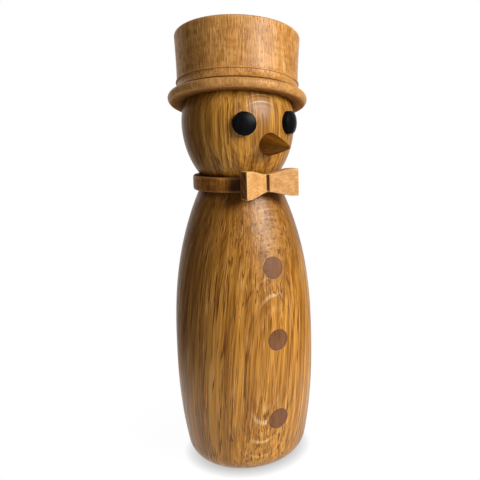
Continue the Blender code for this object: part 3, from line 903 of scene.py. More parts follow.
    def _fibres(self) -> NodeTree:
        """Streaks along the grain, fine and broad, with dark lines and pale gleams.

        Returns:
            The group.
        """
        inputs = {"Vector": VECTOR, "Width": FLOAT, "Length": FLOAT, "Broad": FLOAT}
        outputs = {"Fine": FLOAT, "Broad": FLOAT, "Lines": FLOAT, "Gleams": FLOAT}
        writer, given, result = new_tree("fibres", "ShaderNodeTree", inputs, outputs)
        place = self._in_units(writer, given["Vector"], given["Width"], given["Length"])
        fine = writer.noise(place, 1.0, 3.0, 0.6)[0]
        times_wider = writer.vector(given["Broad"], given["Broad"], given["Broad"])
        broad = writer.noise(writer.vector_maths("DIVIDE", place, times_wider), 1.0)[0]
        stretched = writer.vector_maths("MULTIPLY", place, self.THREAD_STRETCH)
        level = writer.noise(writer.vector_maths("ADD", stretched, self.THREAD_SHIFT), 1.0, 2.0, 0.6)[0]
        lines = self._thread(writer, level, self.LINE_LEVEL, self.LINE_EDGE)
        gleams = self._thread(writer, level, self.GLEAM_LEVEL, self.GLEAM_EDGE)
        line_breaks = writer.step(writer.minus(broad, fine), *self.LINE_BREAKS)
        writer.feed(result["Fine"], writer.step(fine, *self.STREAK_EDGE))
        writer.feed(result["Broad"], writer.step(broad, *self.STREAK_EDGE))
        writer.feed(result["Lines"], writer.times(lines, line_breaks))
        writer.feed(result["Gleams"], writer.times(gleams, writer.step(fine, *self.GLEAM_BREAKS)))
        return writer.tree

    def _rays(self) -> NodeTree:
        """Short dashes where the wood's rays come to the surface.

        Returns:
            The group.
        """
        inputs = {"Polar": VECTOR, "Spacing": FLOAT, "Length": FLOAT, "Depth": FLOAT}
        writer, given, result = new_tree("rays", "ShaderNodeTree", inputs, {"Rays": FLOAT})
        angle, radius, height = writer.parts(given["Polar"])
        sideways = writer.over(writer.times(angle, self.RAY_RADIUS), given["Spacing"])
        inward = writer.over(radius, given["Depth"])
        cells = self._cells(writer, writer.vector(sideways, inward, writer.over(height, given["Length"])))
        luck = writer.parts(cells["Color"])[1]
        thin = writer.fall(cells["Distance"], *self.RAY_EDGE)
        writer.feed(result["Rays"], writer.times(thin, writer.step(luck, *self.RAY_LUCK)))
        return writer.tree

    def _lathe_marks(self) -> NodeTree:
        """The faint rings that sanding leaves on a turned piece.

        Returns:
            The group.
        """
        inputs = {"Vector": VECTOR, "Spacing": FLOAT}
        writer, given, result = new_tree("lathe_marks", "ShaderNodeTree", inputs, {"Marks": FLOAT})
        height = writer.over(writer.parts(given["Vector"])[2], given["Spacing"])
        level = {"W": height, "Scale": 1.0, "Detail": 2.0}
        marks = writer.add("ShaderNodeTexNoise", level, noise_dimensions="1D")
        writer.feed(result["Marks"], marks.outputs[0])
        return writer.tree

    def _end_grain(self) -> NodeTree:
        """Where the surface is cut across the grain, which drinks in more oil and turns darker.

        Returns:
            The group.
        """
        outputs = {"Share": FLOAT, "Shoulder": FLOAT}
        writer, given, result = new_tree("end_grain", "ShaderNodeTree", {"Along Grain": VECTOR}, outputs)
        facing = writer.add("ShaderNodeTexCoord").outputs["Normal"]
        along = writer.vector_maths("DOT_PRODUCT", facing, given["Along Grain"])
        writer.feed(result["Share"], writer.step(writer.maths("ABSOLUTE", along), *self.END_EDGE))
        writer.feed(result["Shoulder"], writer.step(along, *self.SHOULDER_EDGE))
        return writer.tree

    def _dark_zone(self) -> NodeTree:
        """Where a piece is painted darker, mostly as painted shade, by its angle from a heading and by its
        height.

        Returns:
            The group.
        """
        limits = ("Heading", "None At", "Full At", "Low", "High")
        inputs = {"Vector": VECTOR} | {name: FLOAT for name in limits}
        writer, given, result = new_tree("dark_zone", "ShaderNodeTree", inputs, {"Share": FLOAT})
        x, y, height = writer.parts(self._facing_front(writer, given["Vector"], given["Heading"]))
        away = writer.maths("ABSOLUTE", writer.maths("ARCTAN2", x, writer.times(y, -1.0)))
        round_it = writer.step(away, given["None At"], given["Full At"])
        up_it = writer.step(height, given["Low"], given["High"])
        writer.feed(result["Share"], writer.times(round_it, up_it))
        return writer.tree

    def _wear_and_crease_shade(self) -> NodeTree:
        """Edges paler from rubbing, creases darker from grime and painted shade.

        Returns:
            The group.
        """
        inputs = {"Colour": COLOUR, "Rubbed": COLOUR, "Dirt And Shade Colour": COLOUR}
        inputs |= {"Rub": FLOAT, "Dirt": FLOAT, "Patches": FLOAT}
        outputs = {"Colour": COLOUR, "Rub": FLOAT}
        writer, given, result = new_tree("wear_and_crease_shade", "ShaderNodeTree", inputs, outputs)
        place = writer.add("ShaderNodeTexCoord").outputs["Object"]
        patchy = writer.step(writer.noise(place, self.PATCH_SCALE, 3.0)[0], *self.PATCH_EDGE)
        uneven = writer.scaled(patchy, given["Patches"], writer.minus(1.0, given["Patches"]))
        worn = writer.add("ShaderNodeAttribute", attribute_name=EDGE_RUB).outputs["Fac"]
        crease_dirt_and_shade_mark = writer.add("ShaderNodeAttribute", attribute_name=CREASE_DIRT_AND_SHADE).outputs["Fac"]
        rub = writer.maths("MULTIPLY", writer.times(worn, uneven), given["Rub"], clamp=True)
        dirt_and_shade = writer.maths("MULTIPLY", crease_dirt_and_shade_mark, given["Dirt"], clamp=True)
        rubbed = writer.mixed(rub, given["Colour"], given["Rubbed"])
        writer.feed(result["Colour"], writer.mixed(dirt_and_shade, rubbed, given["Dirt And Shade Colour"]))
        writer.feed(result["Rub"], rub)
        return writer.tree


RELIEF_STRENGTH = 0.8
LATHE_SPACING = 0.00025


def start_material(name: str) -> tuple[NodeWriter, Node, Material]:
    """Start a material.

    Args:
        name: Its name.

    Returns:
        Its writer, its shader node and the material.
    """
    material = bpy.data.materials.new(name)
    material.use_nodes = True
    return NodeWriter(material.node_tree), material.node_tree.nodes["Principled BSDF"], material


def own_axes(writer: NodeWriter, axes: Matrix | None) -> Socket:
    """Find the coordinates that a piece's grain follows.

    Args:
        writer: The material's writer.
        axes: The piece's own axes, where they aren't the figure's.

    Returns:
        Its Object coordinates, measured in those axes.
    """
    place = writer.add("ShaderNodeTexCoord").outputs["Object"]
    if axes is None:
        return place
    back = axes.inverted()
    inputs = {"Vector": place, "Rotation": back.to_euler("XYZ"), "Location": back.to_translation()}
    return writer.add("ShaderNodeMapping", inputs).outputs[0]


def set_surface(
    writer: NodeWriter, shader: Node, relief: Socket, depth: float, values: dict[str, object]
) -> None:
    """Give a material its relief and its shader's other values.

    Args:
        writer: The material's writer.
        shader: Its shader node.
        relief: The relief's level.
        depth: The depth of one unit of relief.
        values: The shader's other inputs, by socket name.
    """
    bump = writer.add("ShaderNodeBump", {"Height": relief, "Distance": depth, "Strength": RELIEF_STRENGTH})
    for name, value in (values | {"Normal": bump.outputs[0]}).items():
        writer.feed(shader.inputs[name], value)


@dataclass(frozen=True)
class DarkZone:
    """A part of a piece painted darker, mostly as painted shade: angles in degrees from a heading, and
    heights.

    A zone without angles of its own goes all round.
    """

    low: float
    high: float
    strength: float
    heading: float = 0.0
    none_at: float = -60.0
    full_at: float = 0.0

    def darkened(
        self, writer: NodeWriter, groups: GrainGroups, place: Socket, colour: Socket, dark: Colour
    ) -> Socket:
        """Darken a colour inside the zone.

        Args:
            writer: The material's writer.
            groups: The shared shader groups.
            place: The piece's own coordinates.
            colour: The colour to darken.
            dark: The zone's own colour.

        Returns:
            The darkened colour.
        """
        angles = {"Heading": self.heading, "None At": self.none_at, "Full At": self.full_at}
        inputs = {"Vector": place, "Low": self.low, "High": self.high}
        inputs |= {name: math.radians(angle) for name, angle in angles.items()}
        return writer.laid(colour, dark, writer.group(groups.dark_zone, inputs)[0], self.strength)


@dataclass(frozen=True)
class OakFinish:
    """Oiled oak with cathedral grain.

    line_at is how far in front of the turning axis one ring's line stands, spiral the grain's twist in
    radians per metre of height, and arcs_from the height above which pale arcs show.
    """

    name: str
    line_at: float
    heading: float
    spiral: float
    pith_distance: float = 0.060
    ring_width: float = 0.00129
    waviness: float = 0.0009
    line_width: float = 0.00016
    follow: float = 0.85
    open_front: float = 1.0
    gleams: float = 0.30
    arcs_from: float = -1.0
    dot_strength: float = 0.75
    pore_strength: float = 0.72
    line_strength: float = 0.92
    dark_streaks: float = 0.22
    pale: Colour = (0.83, 0.388, 0.062)
    deep: Colour = (0.33, 0.108, 0.004)
    # Pale line of the ring arcs, partly painted sheen on them; the gleams, painted sheen too, use it.
    arc_line_and_sheen: Colour = (0.94, 0.62, 0.27)
    seam_and_shade: Colour = (0.115, 0.032, 0.002)
    pore: Colour = (0.100, 0.028, 0.0015)
    rubbed: Colour = (0.66, 0.33, 0.085)
    dirt_and_shade_colour: Colour = (0.06, 0.018, 0.003)
    zones: tuple[DarkZone, ...] = ()

    STREAKS = {"Width": 0.00060, "Length": 0.022, "Broad": 4.5}
    VESSELS = {"Spacing": 0.00100, "Length": 0.024, "Size": 0.22}
    DOTS = {"Spacing": 0.0024, "Length": 0.0018, "Size": 0.40}
    RAYS = {"Spacing": 0.0012, "Length": 0.0045, "Depth": 0.006}
    UPWARDS = (0.0, 0.0, 1.0)
    DOT_EDGE = (0.04, 0.30)
    CALMED = -0.80
    LATE_VESSELS = 0.03
    FINE_WEIGHT = 0.46
    BROAD_WEIGHT = 0.38
    TONE = (0.24, 0.08)
    EARLY_STRENGTH = 0.12
    SEAM_STRENGTH = 0.60
    ARC_FADE = (0.4, 0.6)
    ARC_EDGE = 0.004
    RAY_STRENGTH = 0.35
    END_STRENGTH = 0.55
    WEAR_AND_SHADE = {"Rub": 0.55, "Dirt": 0.8, "Patches": 0.5}
    ROUGHNESS = 0.34
    FINE_ROUGHNESS = 0.07
    PORE_ROUGHNESS = 0.25
    RUB_ROUGHNESS = -0.08
    FINE_RELIEF = 0.28
    LINE_RELIEF = -0.45
    MARK_RELIEF = 0.10
    RELIEF_DEPTH = 0.00006
    SPECULAR = 0.40

    def _grain(self, writer: NodeWriter, groups: GrainGroups, place: Socket) -> dict[str, Socket]:
        """Work out the patterns of the grain.

        Args:
            writer: The material's writer.
            groups: The shared shader groups.
            place: The piece's own coordinates.

        Returns:
            The patterns' shares, by their names.
        """
        sizes = {
            "Vector": place,
            "Heading": math.radians(self.heading),
            "Spiral": self.spiral,
            "Pith Distance": self.pith_distance,
            "Ring Width": self.ring_width,
            "Ring Shift": self.pith_distance + self.line_at,
            "Waviness": self.waviness,
            "Line Width": self.line_width,
            "Follow": self.follow,
            "Open Front": self.open_front,
        }
        rings = writer.group(groups.rings, sizes)
        along = {"Vector": rings["Grain"]}
        streaks = writer.group(groups.fibres, self.STREAKS | along)
        ends = writer.group(groups.end_grain, {"Along Grain": self.UPWARDS})
        open_share = writer.times(ends["Shoulder"], rings["Facing"])
        calm = writer.scaled(open_share, self.CALMED, 1.0)
        where = writer.times(writer.scaled(rings["Early"], 1.0 - self.LATE_VESSELS, self.LATE_VESSELS), calm)
        dotted = writer.step(open_share, *self.DOT_EDGE)
        marks = {"Vector": place, "Spacing": LATHE_SPACING}
        return {
            "early": rings["Early"],
            "tone": rings["Tone"],
            "arcs": rings["Arcs"],
            "seams": rings["Seams"],
            "ends": ends["Share"],
            "broad": streaks["Broad"],
            "plain_fine": streaks["Fine"],
            "plain_lines": streaks["Lines"],
            "fine": writer.scaled(writer.minus(streaks["Fine"], 0.5), calm, 0.5),
            "lines": writer.times(streaks["Lines"], calm),
            "gleams": writer.times(streaks["Gleams"], calm),
            "pores": writer.group(groups.vessels, self.VESSELS | along | {"Where": where})[0],
            "dots": writer.group(groups.vessels, self.DOTS | along | {"Where": dotted})[0],
            "rays": writer.group(groups.rays, self.RAYS | {"Polar": rings["Polar"]})[0],
            "marks": writer.group(groups.lathe_marks, marks)[0],
        }

    def _colour(
        self, writer: NodeWriter, groups: GrainGroups, place: Socket, grain: dict[str, Socket]
    ) -> Socket:
        """Lay the colours of the grain over each other.

        Args:
            writer: The material's writer.
            groups: The shared shader groups.
            place: The piece's own coordinates.
            grain: The patterns' shares, by their names.

        Returns:
            The colour of the unworn wood.
        """
        times = writer.times
        streaks = writer.scaled(grain["fine"], self.FINE_WEIGHT, times(grain["broad"], self.BROAD_WEIGHT))
        level = writer.plus(streaks, writer.scaled(grain["tone"], *self.TONE), clamp=True)
        colour = writer.mixed(level, self.deep, self.pale)
        colour = writer.laid(colour, self.deep, grain["early"], self.EARLY_STRENGTH)
        between = writer.minus(1.0, grain["broad"])
        colour = writer.laid(colour, self.seam_and_shade, times(grain["seams"], between), self.SEAM_STRENGTH)
        arcs = times(grain["arcs"], writer.scaled(grain["fine"], *self.ARC_FADE))
        height = writer.parts(place)[2]
        shown = writer.step(height, self.arcs_from - self.ARC_EDGE, self.arcs_from + self.ARC_EDGE)
        colour = writer.mixed(times(arcs, shown), colour, self.arc_line_and_sheen)
        colour = writer.laid(colour, self.pore, grain["rays"], self.RAY_STRENGTH)
        colour = writer.laid(colour, self.seam_and_shade, writer.power(between, 2.0), self.dark_streaks)
        # The zones mostly lay painted shade, in the seam_and_shade colour.
        for zone in self.zones:
            colour = zone.darkened(writer, groups, place, colour, self.seam_and_shade)
        layers = (
            # The gleams are painted sheen: pale threads in the arc colour.
            ("gleams", self.gleams, self.arc_line_and_sheen),
            ("lines", self.line_strength, self.seam_and_shade),
            ("pores", self.pore_strength, self.pore),
            ("dots", self.dot_strength, self.pore),
            ("ends", self.END_STRENGTH, self.seam_and_shade),
        )
        for pattern, strength, layer in layers:
            colour = writer.laid(colour, layer, grain[pattern], strength)
        return colour

    def material(self, groups: GrainGroups) -> Material:
        """Make the material.

        Args:
            groups: The shared shader groups.

        Returns:
            The finish as a material.
        """
        writer, shader, material = start_material(self.name)
        place = own_axes(writer, None)
        grain = self._grain(writer, groups, place)
        colours = {"Rubbed": (*self.rubbed, 1.0), "Dirt And Shade Colour": (*self.dirt_and_shade_colour, 1.0)}
        colours |= {"Colour": self._colour(writer, groups, place, grain)}
        worn = writer.group(groups.wear_and_crease_shade, colours | self.WEAR_AND_SHADE)
        rough = writer.total(
            self.ROUGHNESS,
            (grain["plain_fine"], self.FINE_ROUGHNESS),
            (grain["pores"], self.PORE_ROUGHNESS),
            (worn["Rub"], self.RUB_ROUGHNESS),
        )
        relief = writer.total(
            writer.times(grain["plain_fine"], self.FINE_RELIEF),
            (grain["pores"], -1.0),
            (grain["plain_lines"], self.LINE_RELIEF),
            (grain["marks"], self.MARK_RELIEF),
        )
        values = {"Base Color": worn["Colour"], "Roughness": rough, "Specular IOR Level": self.SPECULAR}
        set_surface(writer, shader, relief, self.RELIEF_DEPTH, values)
        return material


@dataclass(frozen=True)
class FineWoodFinish:
    """Oiled close-grained wood: flecks and fine streaks along the grain, and faint growth lines.

    The grain runs along the +Z of the material's axes, and along_grain is that line in the figure's own axes.
    end_roughness is added where the wood is cut across, and end_specular is the share of its shine there.
    """

    name: str
    pale: Colour
    deep: Colour
    fleck: Colour
    rubbed: Colour
    dirt_and_shade_colour: Colour
    end: Colour
    along_grain: tuple[float, float, float] = (0.0, 0.0, 1.0)
    roughness: float = 0.42
    figure: float = 0.0
    fleck_spacing: float = 0.0009
    fleck_length: float = 0.006
    fleck_strength: float = 0.45
    streak_width: float = 0.0007
    streak_length: float = 0.020
    rub: float = 0.5
    dirt_and_shade: float = 0.8
    specular: float = 0.42
    relief: float = 0.00004
    gleams: float = 0.30
    end_roughness: float = 0.40
    end_specular: float = 0.20
    zones: tuple[DarkZone, ...] = ()

    RINGS = {
        "Heading": math.radians(40.0),
        "Spiral": 0.0,
        "Pith Distance": 0.085,
        "Ring Width": 0.0034,
        "Ring Shift": 0.0,
        "Waviness": 0.0030,
        "Line Width": 0.0004,
        "Follow": 0.0,
        "Open Front": 0.0,
    }
    TIMES_BROADER = 6.0
    FLECK_SIZE = 0.30
    CLOUD_SCALE = 70.0
    CLOUD_EDGE = (0.30, 0.70)
    RIPPLE_SCALE = (190.0, 190.0, 420.0)
    RIPPLE_EDGE = (0.35, 0.65)
    FINE_WEIGHT = 0.46
    BROAD_WEIGHT = 0.32
    CLOUD_WEIGHT = 0.22
    SEAM_STRENGTH = 0.30
    END_EARLY_WEIGHT = 0.45
    END_BROAD_WEIGHT = 0.30
    END_STRENGTH = 0.90
    PATCHES = 0.4
    FINE_ROUGHNESS = 0.06
    FLECK_ROUGHNESS = 0.10
    FINE_RELIEF = 0.40
    FLECK_RELIEF = -0.5
    MARK_RELIEF = 0.12

    def _plain_colour(self, writer: NodeWriter, place: Socket, streaks: Given) -> Socket:
        """Mix the wood's pale and deep colours by its streaks, its clouds and its figure.

        Args:
            writer: The material's writer.
            place: The piece's own coordinates.
            streaks: The outputs of the fibres.

        Returns:
            The mixed colour.
        """
        cloud = writer.step(writer.noise(place, self.CLOUD_SCALE)[0], *self.CLOUD_EDGE)
        rippled = writer.vector_maths("MULTIPLY", place, self.RIPPLE_SCALE)
        ripple = writer.step(writer.noise(rippled, 1.0)[0], *self.RIPPLE_EDGE)
        broad = writer.times(streaks["Broad"], self.BROAD_WEIGHT)
        streaked = writer.scaled(streaks["Fine"], self.FINE_WEIGHT, broad)
        level = writer.scaled(cloud, self.CLOUD_WEIGHT, streaked, clamp=True)
        curl = writer.scaled(ripple, self.figure, -0.5 * self.figure)
        return writer.mixed(writer.plus(level, curl, clamp=True), self.deep, self.pale)

    def material(self, groups: GrainGroups, axes: Matrix | None = None) -> Material:
        """Make the material.

        Args:
            groups: The shared shader groups.
            axes: The axes whose +Z the grain follows, where it isn't the figure's own.

        Returns:
            The finish as a material.
        """
        writer, shader, material = start_material(self.name)
        place = own_axes(writer, axes)
        rings = writer.group(groups.rings, self.RINGS | {"Vector": place})
        along = {"Vector": rings["Grain"]}
        widths = {"Width": self.streak_width, "Length": self.streak_length, "Broad": self.TIMES_BROADER}
        streaks = writer.group(groups.fibres, along | widths)
        spacing = {"Spacing": self.fleck_spacing, "Length": self.fleck_length}
        sizes = along | spacing | {"Size": self.FLECK_SIZE, "Where": 1.0}
        flecks = writer.group(groups.vessels, sizes)[0]
        marks = writer.group(groups.lathe_marks, {"Vector": place, "Spacing": LATHE_SPACING})[0]
        ends = writer.group(groups.end_grain, {"Along Grain": self.along_grain})["Share"]

        colour = self._plain_colour(writer, place, streaks)
        colour = writer.laid(colour, self.deep, rings["Seams"], self.SEAM_STRENGTH)
        # The gleams are painted sheen: pale threads in the rubbed colour.
        colour = writer.laid(colour, self.rubbed, streaks["Gleams"], self.gleams)
        colour = writer.laid(colour, self.fleck, streaks["Lines"], self.fleck_strength)
        end_broad = writer.times(streaks["Broad"], self.END_BROAD_WEIGHT)
        end_level = writer.scaled(rings["Early"], self.END_EARLY_WEIGHT, end_broad)
        end_colour = writer.mixed(end_level, self.end, self.fleck)
        colour = writer.laid(colour, end_colour, ends, self.END_STRENGTH)
        colour = writer.laid(colour, self.fleck, flecks, self.fleck_strength)
        # The zones lay painted shade, in the dirt_and_shade_colour.
        for zone in self.zones:
            colour = zone.darkened(writer, groups, place, colour, self.dirt_and_shade_colour)
        colours = {"Colour": colour, "Rubbed": (*self.rubbed, 1.0), "Dirt And Shade Colour": (*self.dirt_and_shade_colour, 1.0)}
        wear_and_shade = {"Rub": self.rub, "Dirt": self.dirt_and_shade, "Patches": self.PATCHES}
        worn = writer.group(groups.wear_and_crease_shade, colours | wear_and_shade)

        rough = writer.total(
            self.roughness,
            (streaks["Fine"], self.FINE_ROUGHNESS),
            (ends, self.end_roughness),
            (flecks, self.FLECK_ROUGHNESS),
        )
        fine_relief = writer.times(streaks["Fine"], self.FINE_RELIEF)
        relief = writer.total(fine_relief, (flecks, self.FLECK_RELIEF), (marks, self.MARK_RELIEF))
        dulled = writer.scaled(ends, self.specular * (self.end_specular - 1.0), self.specular)
        values = {"Base Color": worn["Colour"], "Roughness": rough, "Specular IOR Level": dulled}
        set_surface(writer, shader, relief, self.relief, values)
        return material


MAPLE_HAT = FineWoodFinish(
    name="oiled_maple_hat",
    pale=(0.74, 0.360, 0.098),
    deep=(0.42, 0.175, 0.034),
    fleck=(0.20, 0.070, 0.010),
    rubbed=(0.86, 0.52, 0.21),
    dirt_and_shade_colour=(0.12, 0.040, 0.007),
    end=(0.40, 0.170, 0.036),
    roughness=0.38,
    figure=0.42,
    fleck_spacing=0.0008,
    fleck_length=0.0035,
    fleck_strength=0.50,
    streak_width=0.0006,
    streak_length=0.008,
    rub=0.25,
    dirt_and_shade=0.9,
    specular=0.36,
    relief=0.00010,
    gleams=0.55,
)
MAPLE_COLLAR = FineWoodFinish(
    name="oiled_maple_ring",
    # The ring's pale and deep are far darker than the bow's maple, partly as painted shade from the head and
    # the bow above and beside it.
    pale=(0.48, 0.185, 0.018),
    deep=(0.20, 0.056, 0.002),
    fleck=(0.11, 0.028, 0.002),
    rubbed=(0.80, 0.46, 0.16),
    dirt_and_shade_colour=(0.05, 0.012, 0.001),
    end=(0.20, 0.060, 0.005),
    figure=0.50,
    streak_length=0.010,
    rub=0.15,
    dirt_and_shade=0.9,
    specular=0.36,
    # Painted shadow of the bow on the ring's front, behind and beside its wings.
    zones=(DarkZone(heading=1.9, none_at=48.0, full_at=38.0, low=0.0, high=0.001, strength=0.85),),
)
MAPLE_BOW = FineWoodFinish(
    name="oiled_maple_bow",
    pale=(0.82, 0.430, 0.150),
    deep=(0.56, 0.265, 0.074),
    fleck=(0.40, 0.15, 0.028),
    rubbed=(0.95, 0.62, 0.29),
    dirt_and_shade_colour=(0.13, 0.036, 0.003),
    # The bow's cut ends: darker end grain, and painted shade on the end faces.
    end=(0.12, 0.028, 0.002),
    along_grain=(1.0, 0.0, 0.0),
    figure=0.45,
    fleck_strength=0.16,
    streak_length=0.010,
    rub=0.5,
    dirt_and_shade=1.0,
    relief=0.00006,
    gleams=0.50,
)
WALNUT_PLUG = FineWoodFinish(
    name="oiled_walnut_plug",
    pale=(0.27, 0.108, 0.038),
    deep=(0.165, 0.060, 0.018),
    fleck=(0.075, 0.024, 0.007),
    rubbed=(0.10, 0.036, 0.012),
    dirt_and_shade_colour=(0.03, 0.010, 0.003),
    end=(0.15, 0.052, 0.016),
    roughness=0.46,
    fleck_spacing=0.0007,
    fleck_length=0.0022,
    streak_width=0.0005,
    streak_length=0.008,
)
TEAK_NOSE = FineWoodFinish(
    name="oiled_teak_nose",
    pale=(0.33, 0.142, 0.007),
    deep=(0.22, 0.062, 0.003),
    fleck=(0.10, 0.026, 0.002),
    rubbed=(0.32, 0.14, 0.020),
    dirt_and_shade_colour=(0.035, 0.010, 0.002),
    end=(0.12, 0.032, 0.003),
    roughness=0.44,
    streak_width=0.0004,
    streak_length=0.010,
    specular=0.26,
    gleams=0.0,
)
BLACK_EYE = FineWoodFinish(
    name="black_stained_plug",
    pale=(0.007, 0.007, 0.009),
    deep=(0.004, 0.004, 0.005),
    fleck=(0.002, 0.002, 0.002),
    rubbed=(0.012, 0.011, 0.010),
    dirt_and_shade_colour=(0.001, 0.001, 0.001),
    end=(0.004, 0.004, 0.005),
    roughness=0.34,
    streak_width=0.0004,
    streak_length=0.006,
    rub=0.4,
    specular=0.10,
)
BEECH_DOWEL = FineWoodFinish(
    name="bare_beech_dowel",
    pale=(0.62, 0.42, 0.24),
    deep=(0.48, 0.30, 0.15),
    fleck=(0.36, 0.19, 0.085),
    rubbed=(0.62, 0.42, 0.24),
    dirt_and_shade_colour=(0.20, 0.11, 0.05),
    end=(0.40, 0.23, 0.11),
    roughness=0.60,
    fleck_spacing=0.0006,
    fleck_length=0.0025,
)


HOLE_SEGMENTS = 96
BORE_SEGMENTS = 48
OVERCUT = 0.002


@dataclass
class SubAssembly:
    """A part of the figure, with the trees and the shader groups that its pieces are made with."""

    trees: GeometryTrees
    groups: GrainGroups

    def turned(self, name: str, outline: Outline, segments: int, material: Material) -> Object:
        """Return a piece turned from its outline."""
        values = {"Segments": segments, "Material": material}
        return grown(name, outline_mesh(name, outline), self.trees.turning, values)


@dataclass
class BarrelBody(SubAssembly):
    """The turned oak body with its three flush walnut plugs."""

    belly_height: float = 0.055
    top_radius: float = 0.0184
    top_fillet: float = 0.0012
    shoulder_fullness: float = 2.5
    hip_radius: float = 0.0267
    hip_fullness: float = 2.3
    base_radius: float = 0.0200
    foot_height: float = 0.0085
    foot_roundness: float = 2.3
    plug_radius: float = 0.0048
    plug_depth: float = 0.006
    plug_gap: float = 0.00010
    bore_radius: float = 0.0053
    bore_depth: float = 0.0203
    segments: int = 180
    rings: int = 240
    cap_share: float = 0.03

    PLUGS = ("button_top", "button_middle", "button_bottom")
    FACE_RINGS = 12

    def __post_init__(self) -> None:
        """Take the body's reach from the frame."""
        low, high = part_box("body")
        self.height = high[2]
        self.belly_radius = (high[0] - low[0]) / 2

    def sizes(self) -> dict[str, float]:
        """Return the barrel tree's inputs, from the sizes of the same names."""
        return {name: getattr(self, name.lower().replace(" ", "_")) for name in self.trees.BARREL_SIZES}

    def plug_heights(self) -> list[float]:
        """Return the heights of the plugs' axes, from the frame."""
        boxes = [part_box(node) for node in self.PLUGS]
        return [(low[2] + high[2]) / 2 for low, high in boxes]

    def build(self) -> None:
        """Make and dress the body and its plugs."""
        self._build_barrel()
        self._build_plugs()

    def _build_barrel(self) -> None:
        """Make and dress the body, with its seats and its bore."""
        oak = OakFinish(
            "oiled_oak_body",
            line_at=0.03237,
            heading=-18.0,
            spiral=math.radians(170.0),
            zones=(
                # Darker above the belly, all round.
                DarkZone(low=0.060, high=0.115, strength=0.40),
                # Painted shade on the -X side, turned from the key lamp, above the foot.
                DarkZone(heading=-110.0, none_at=92.0, full_at=20.0, low=0.030, high=0.070, strength=0.48),
                # Painted shade under the collar, all round the body's top.
                DarkZone(low=0.1245, high=0.1290, strength=0.50),
                # Painted shadow of the bow on the body's top.
                DarkZone(heading=1.9, none_at=62.0, full_at=36.0, low=0.1210, high=0.1270, strength=0.60),
                # Painted shade high on the +X side, where the light falls off.
                DarkZone(heading=65.0, none_at=58.0, full_at=25.0, low=0.085, high=0.110, strength=0.45),
                # Painted shade low on the +X side, at the foot.
                DarkZone(heading=62.0, none_at=58.0, full_at=25.0, low=0.030, high=0.008, strength=0.45),
            ),
        )
        values = self.sizes() | {"Cap Share": self.cap_share, "Segments": self.segments, "Rings": self.rings}
        values["Material"] = oak.material(self.groups)
        body = grown("turned_body", bpy.data.meshes.new("turned_body"), self.trees.barrel, values)

        floor = self.belly_radius - OVERCUT - self.plug_depth
        hole = stepped_hole(self.belly_radius + OVERCUT, (self.plug_radius + self.plug_gap, floor))
        for height in self.plug_heights():
            cut(body, hole, outward(0.0, height), self.trees, HOLE_SEGMENTS)
        bore = stepped_hole(self.height + OVERCUT, (self.bore_radius, self.height - self.bore_depth))
        cut(body, bore, Matrix.Identity(4), self.trees, BORE_SEGMENTS)
        finish_piece(body, Slot.OAK, Carrier.BODY, ("body",))

    def _build_plugs(self) -> None:
        """Make and dress the three plugs."""
        places = bpy.data.meshes.new("plug_places")
        places.from_pydata([(0.0, 0.0, height) for height in self.plug_heights()], [], [])
        values = self.sizes() | {"Plug Radius": self.plug_radius, "Plug Depth": self.plug_depth}
        values |= {"Segments": HOLE_SEGMENTS, "Face Rings": self.FACE_RINGS}
        values["Material"] = WALNUT_PLUG.material(self.groups)
        plugs = grown("button_plugs", places, self.trees.flush_plugs, values)
        finish_piece(plugs, Slot.WALNUT, Carrier.BODY, self.PLUGS)


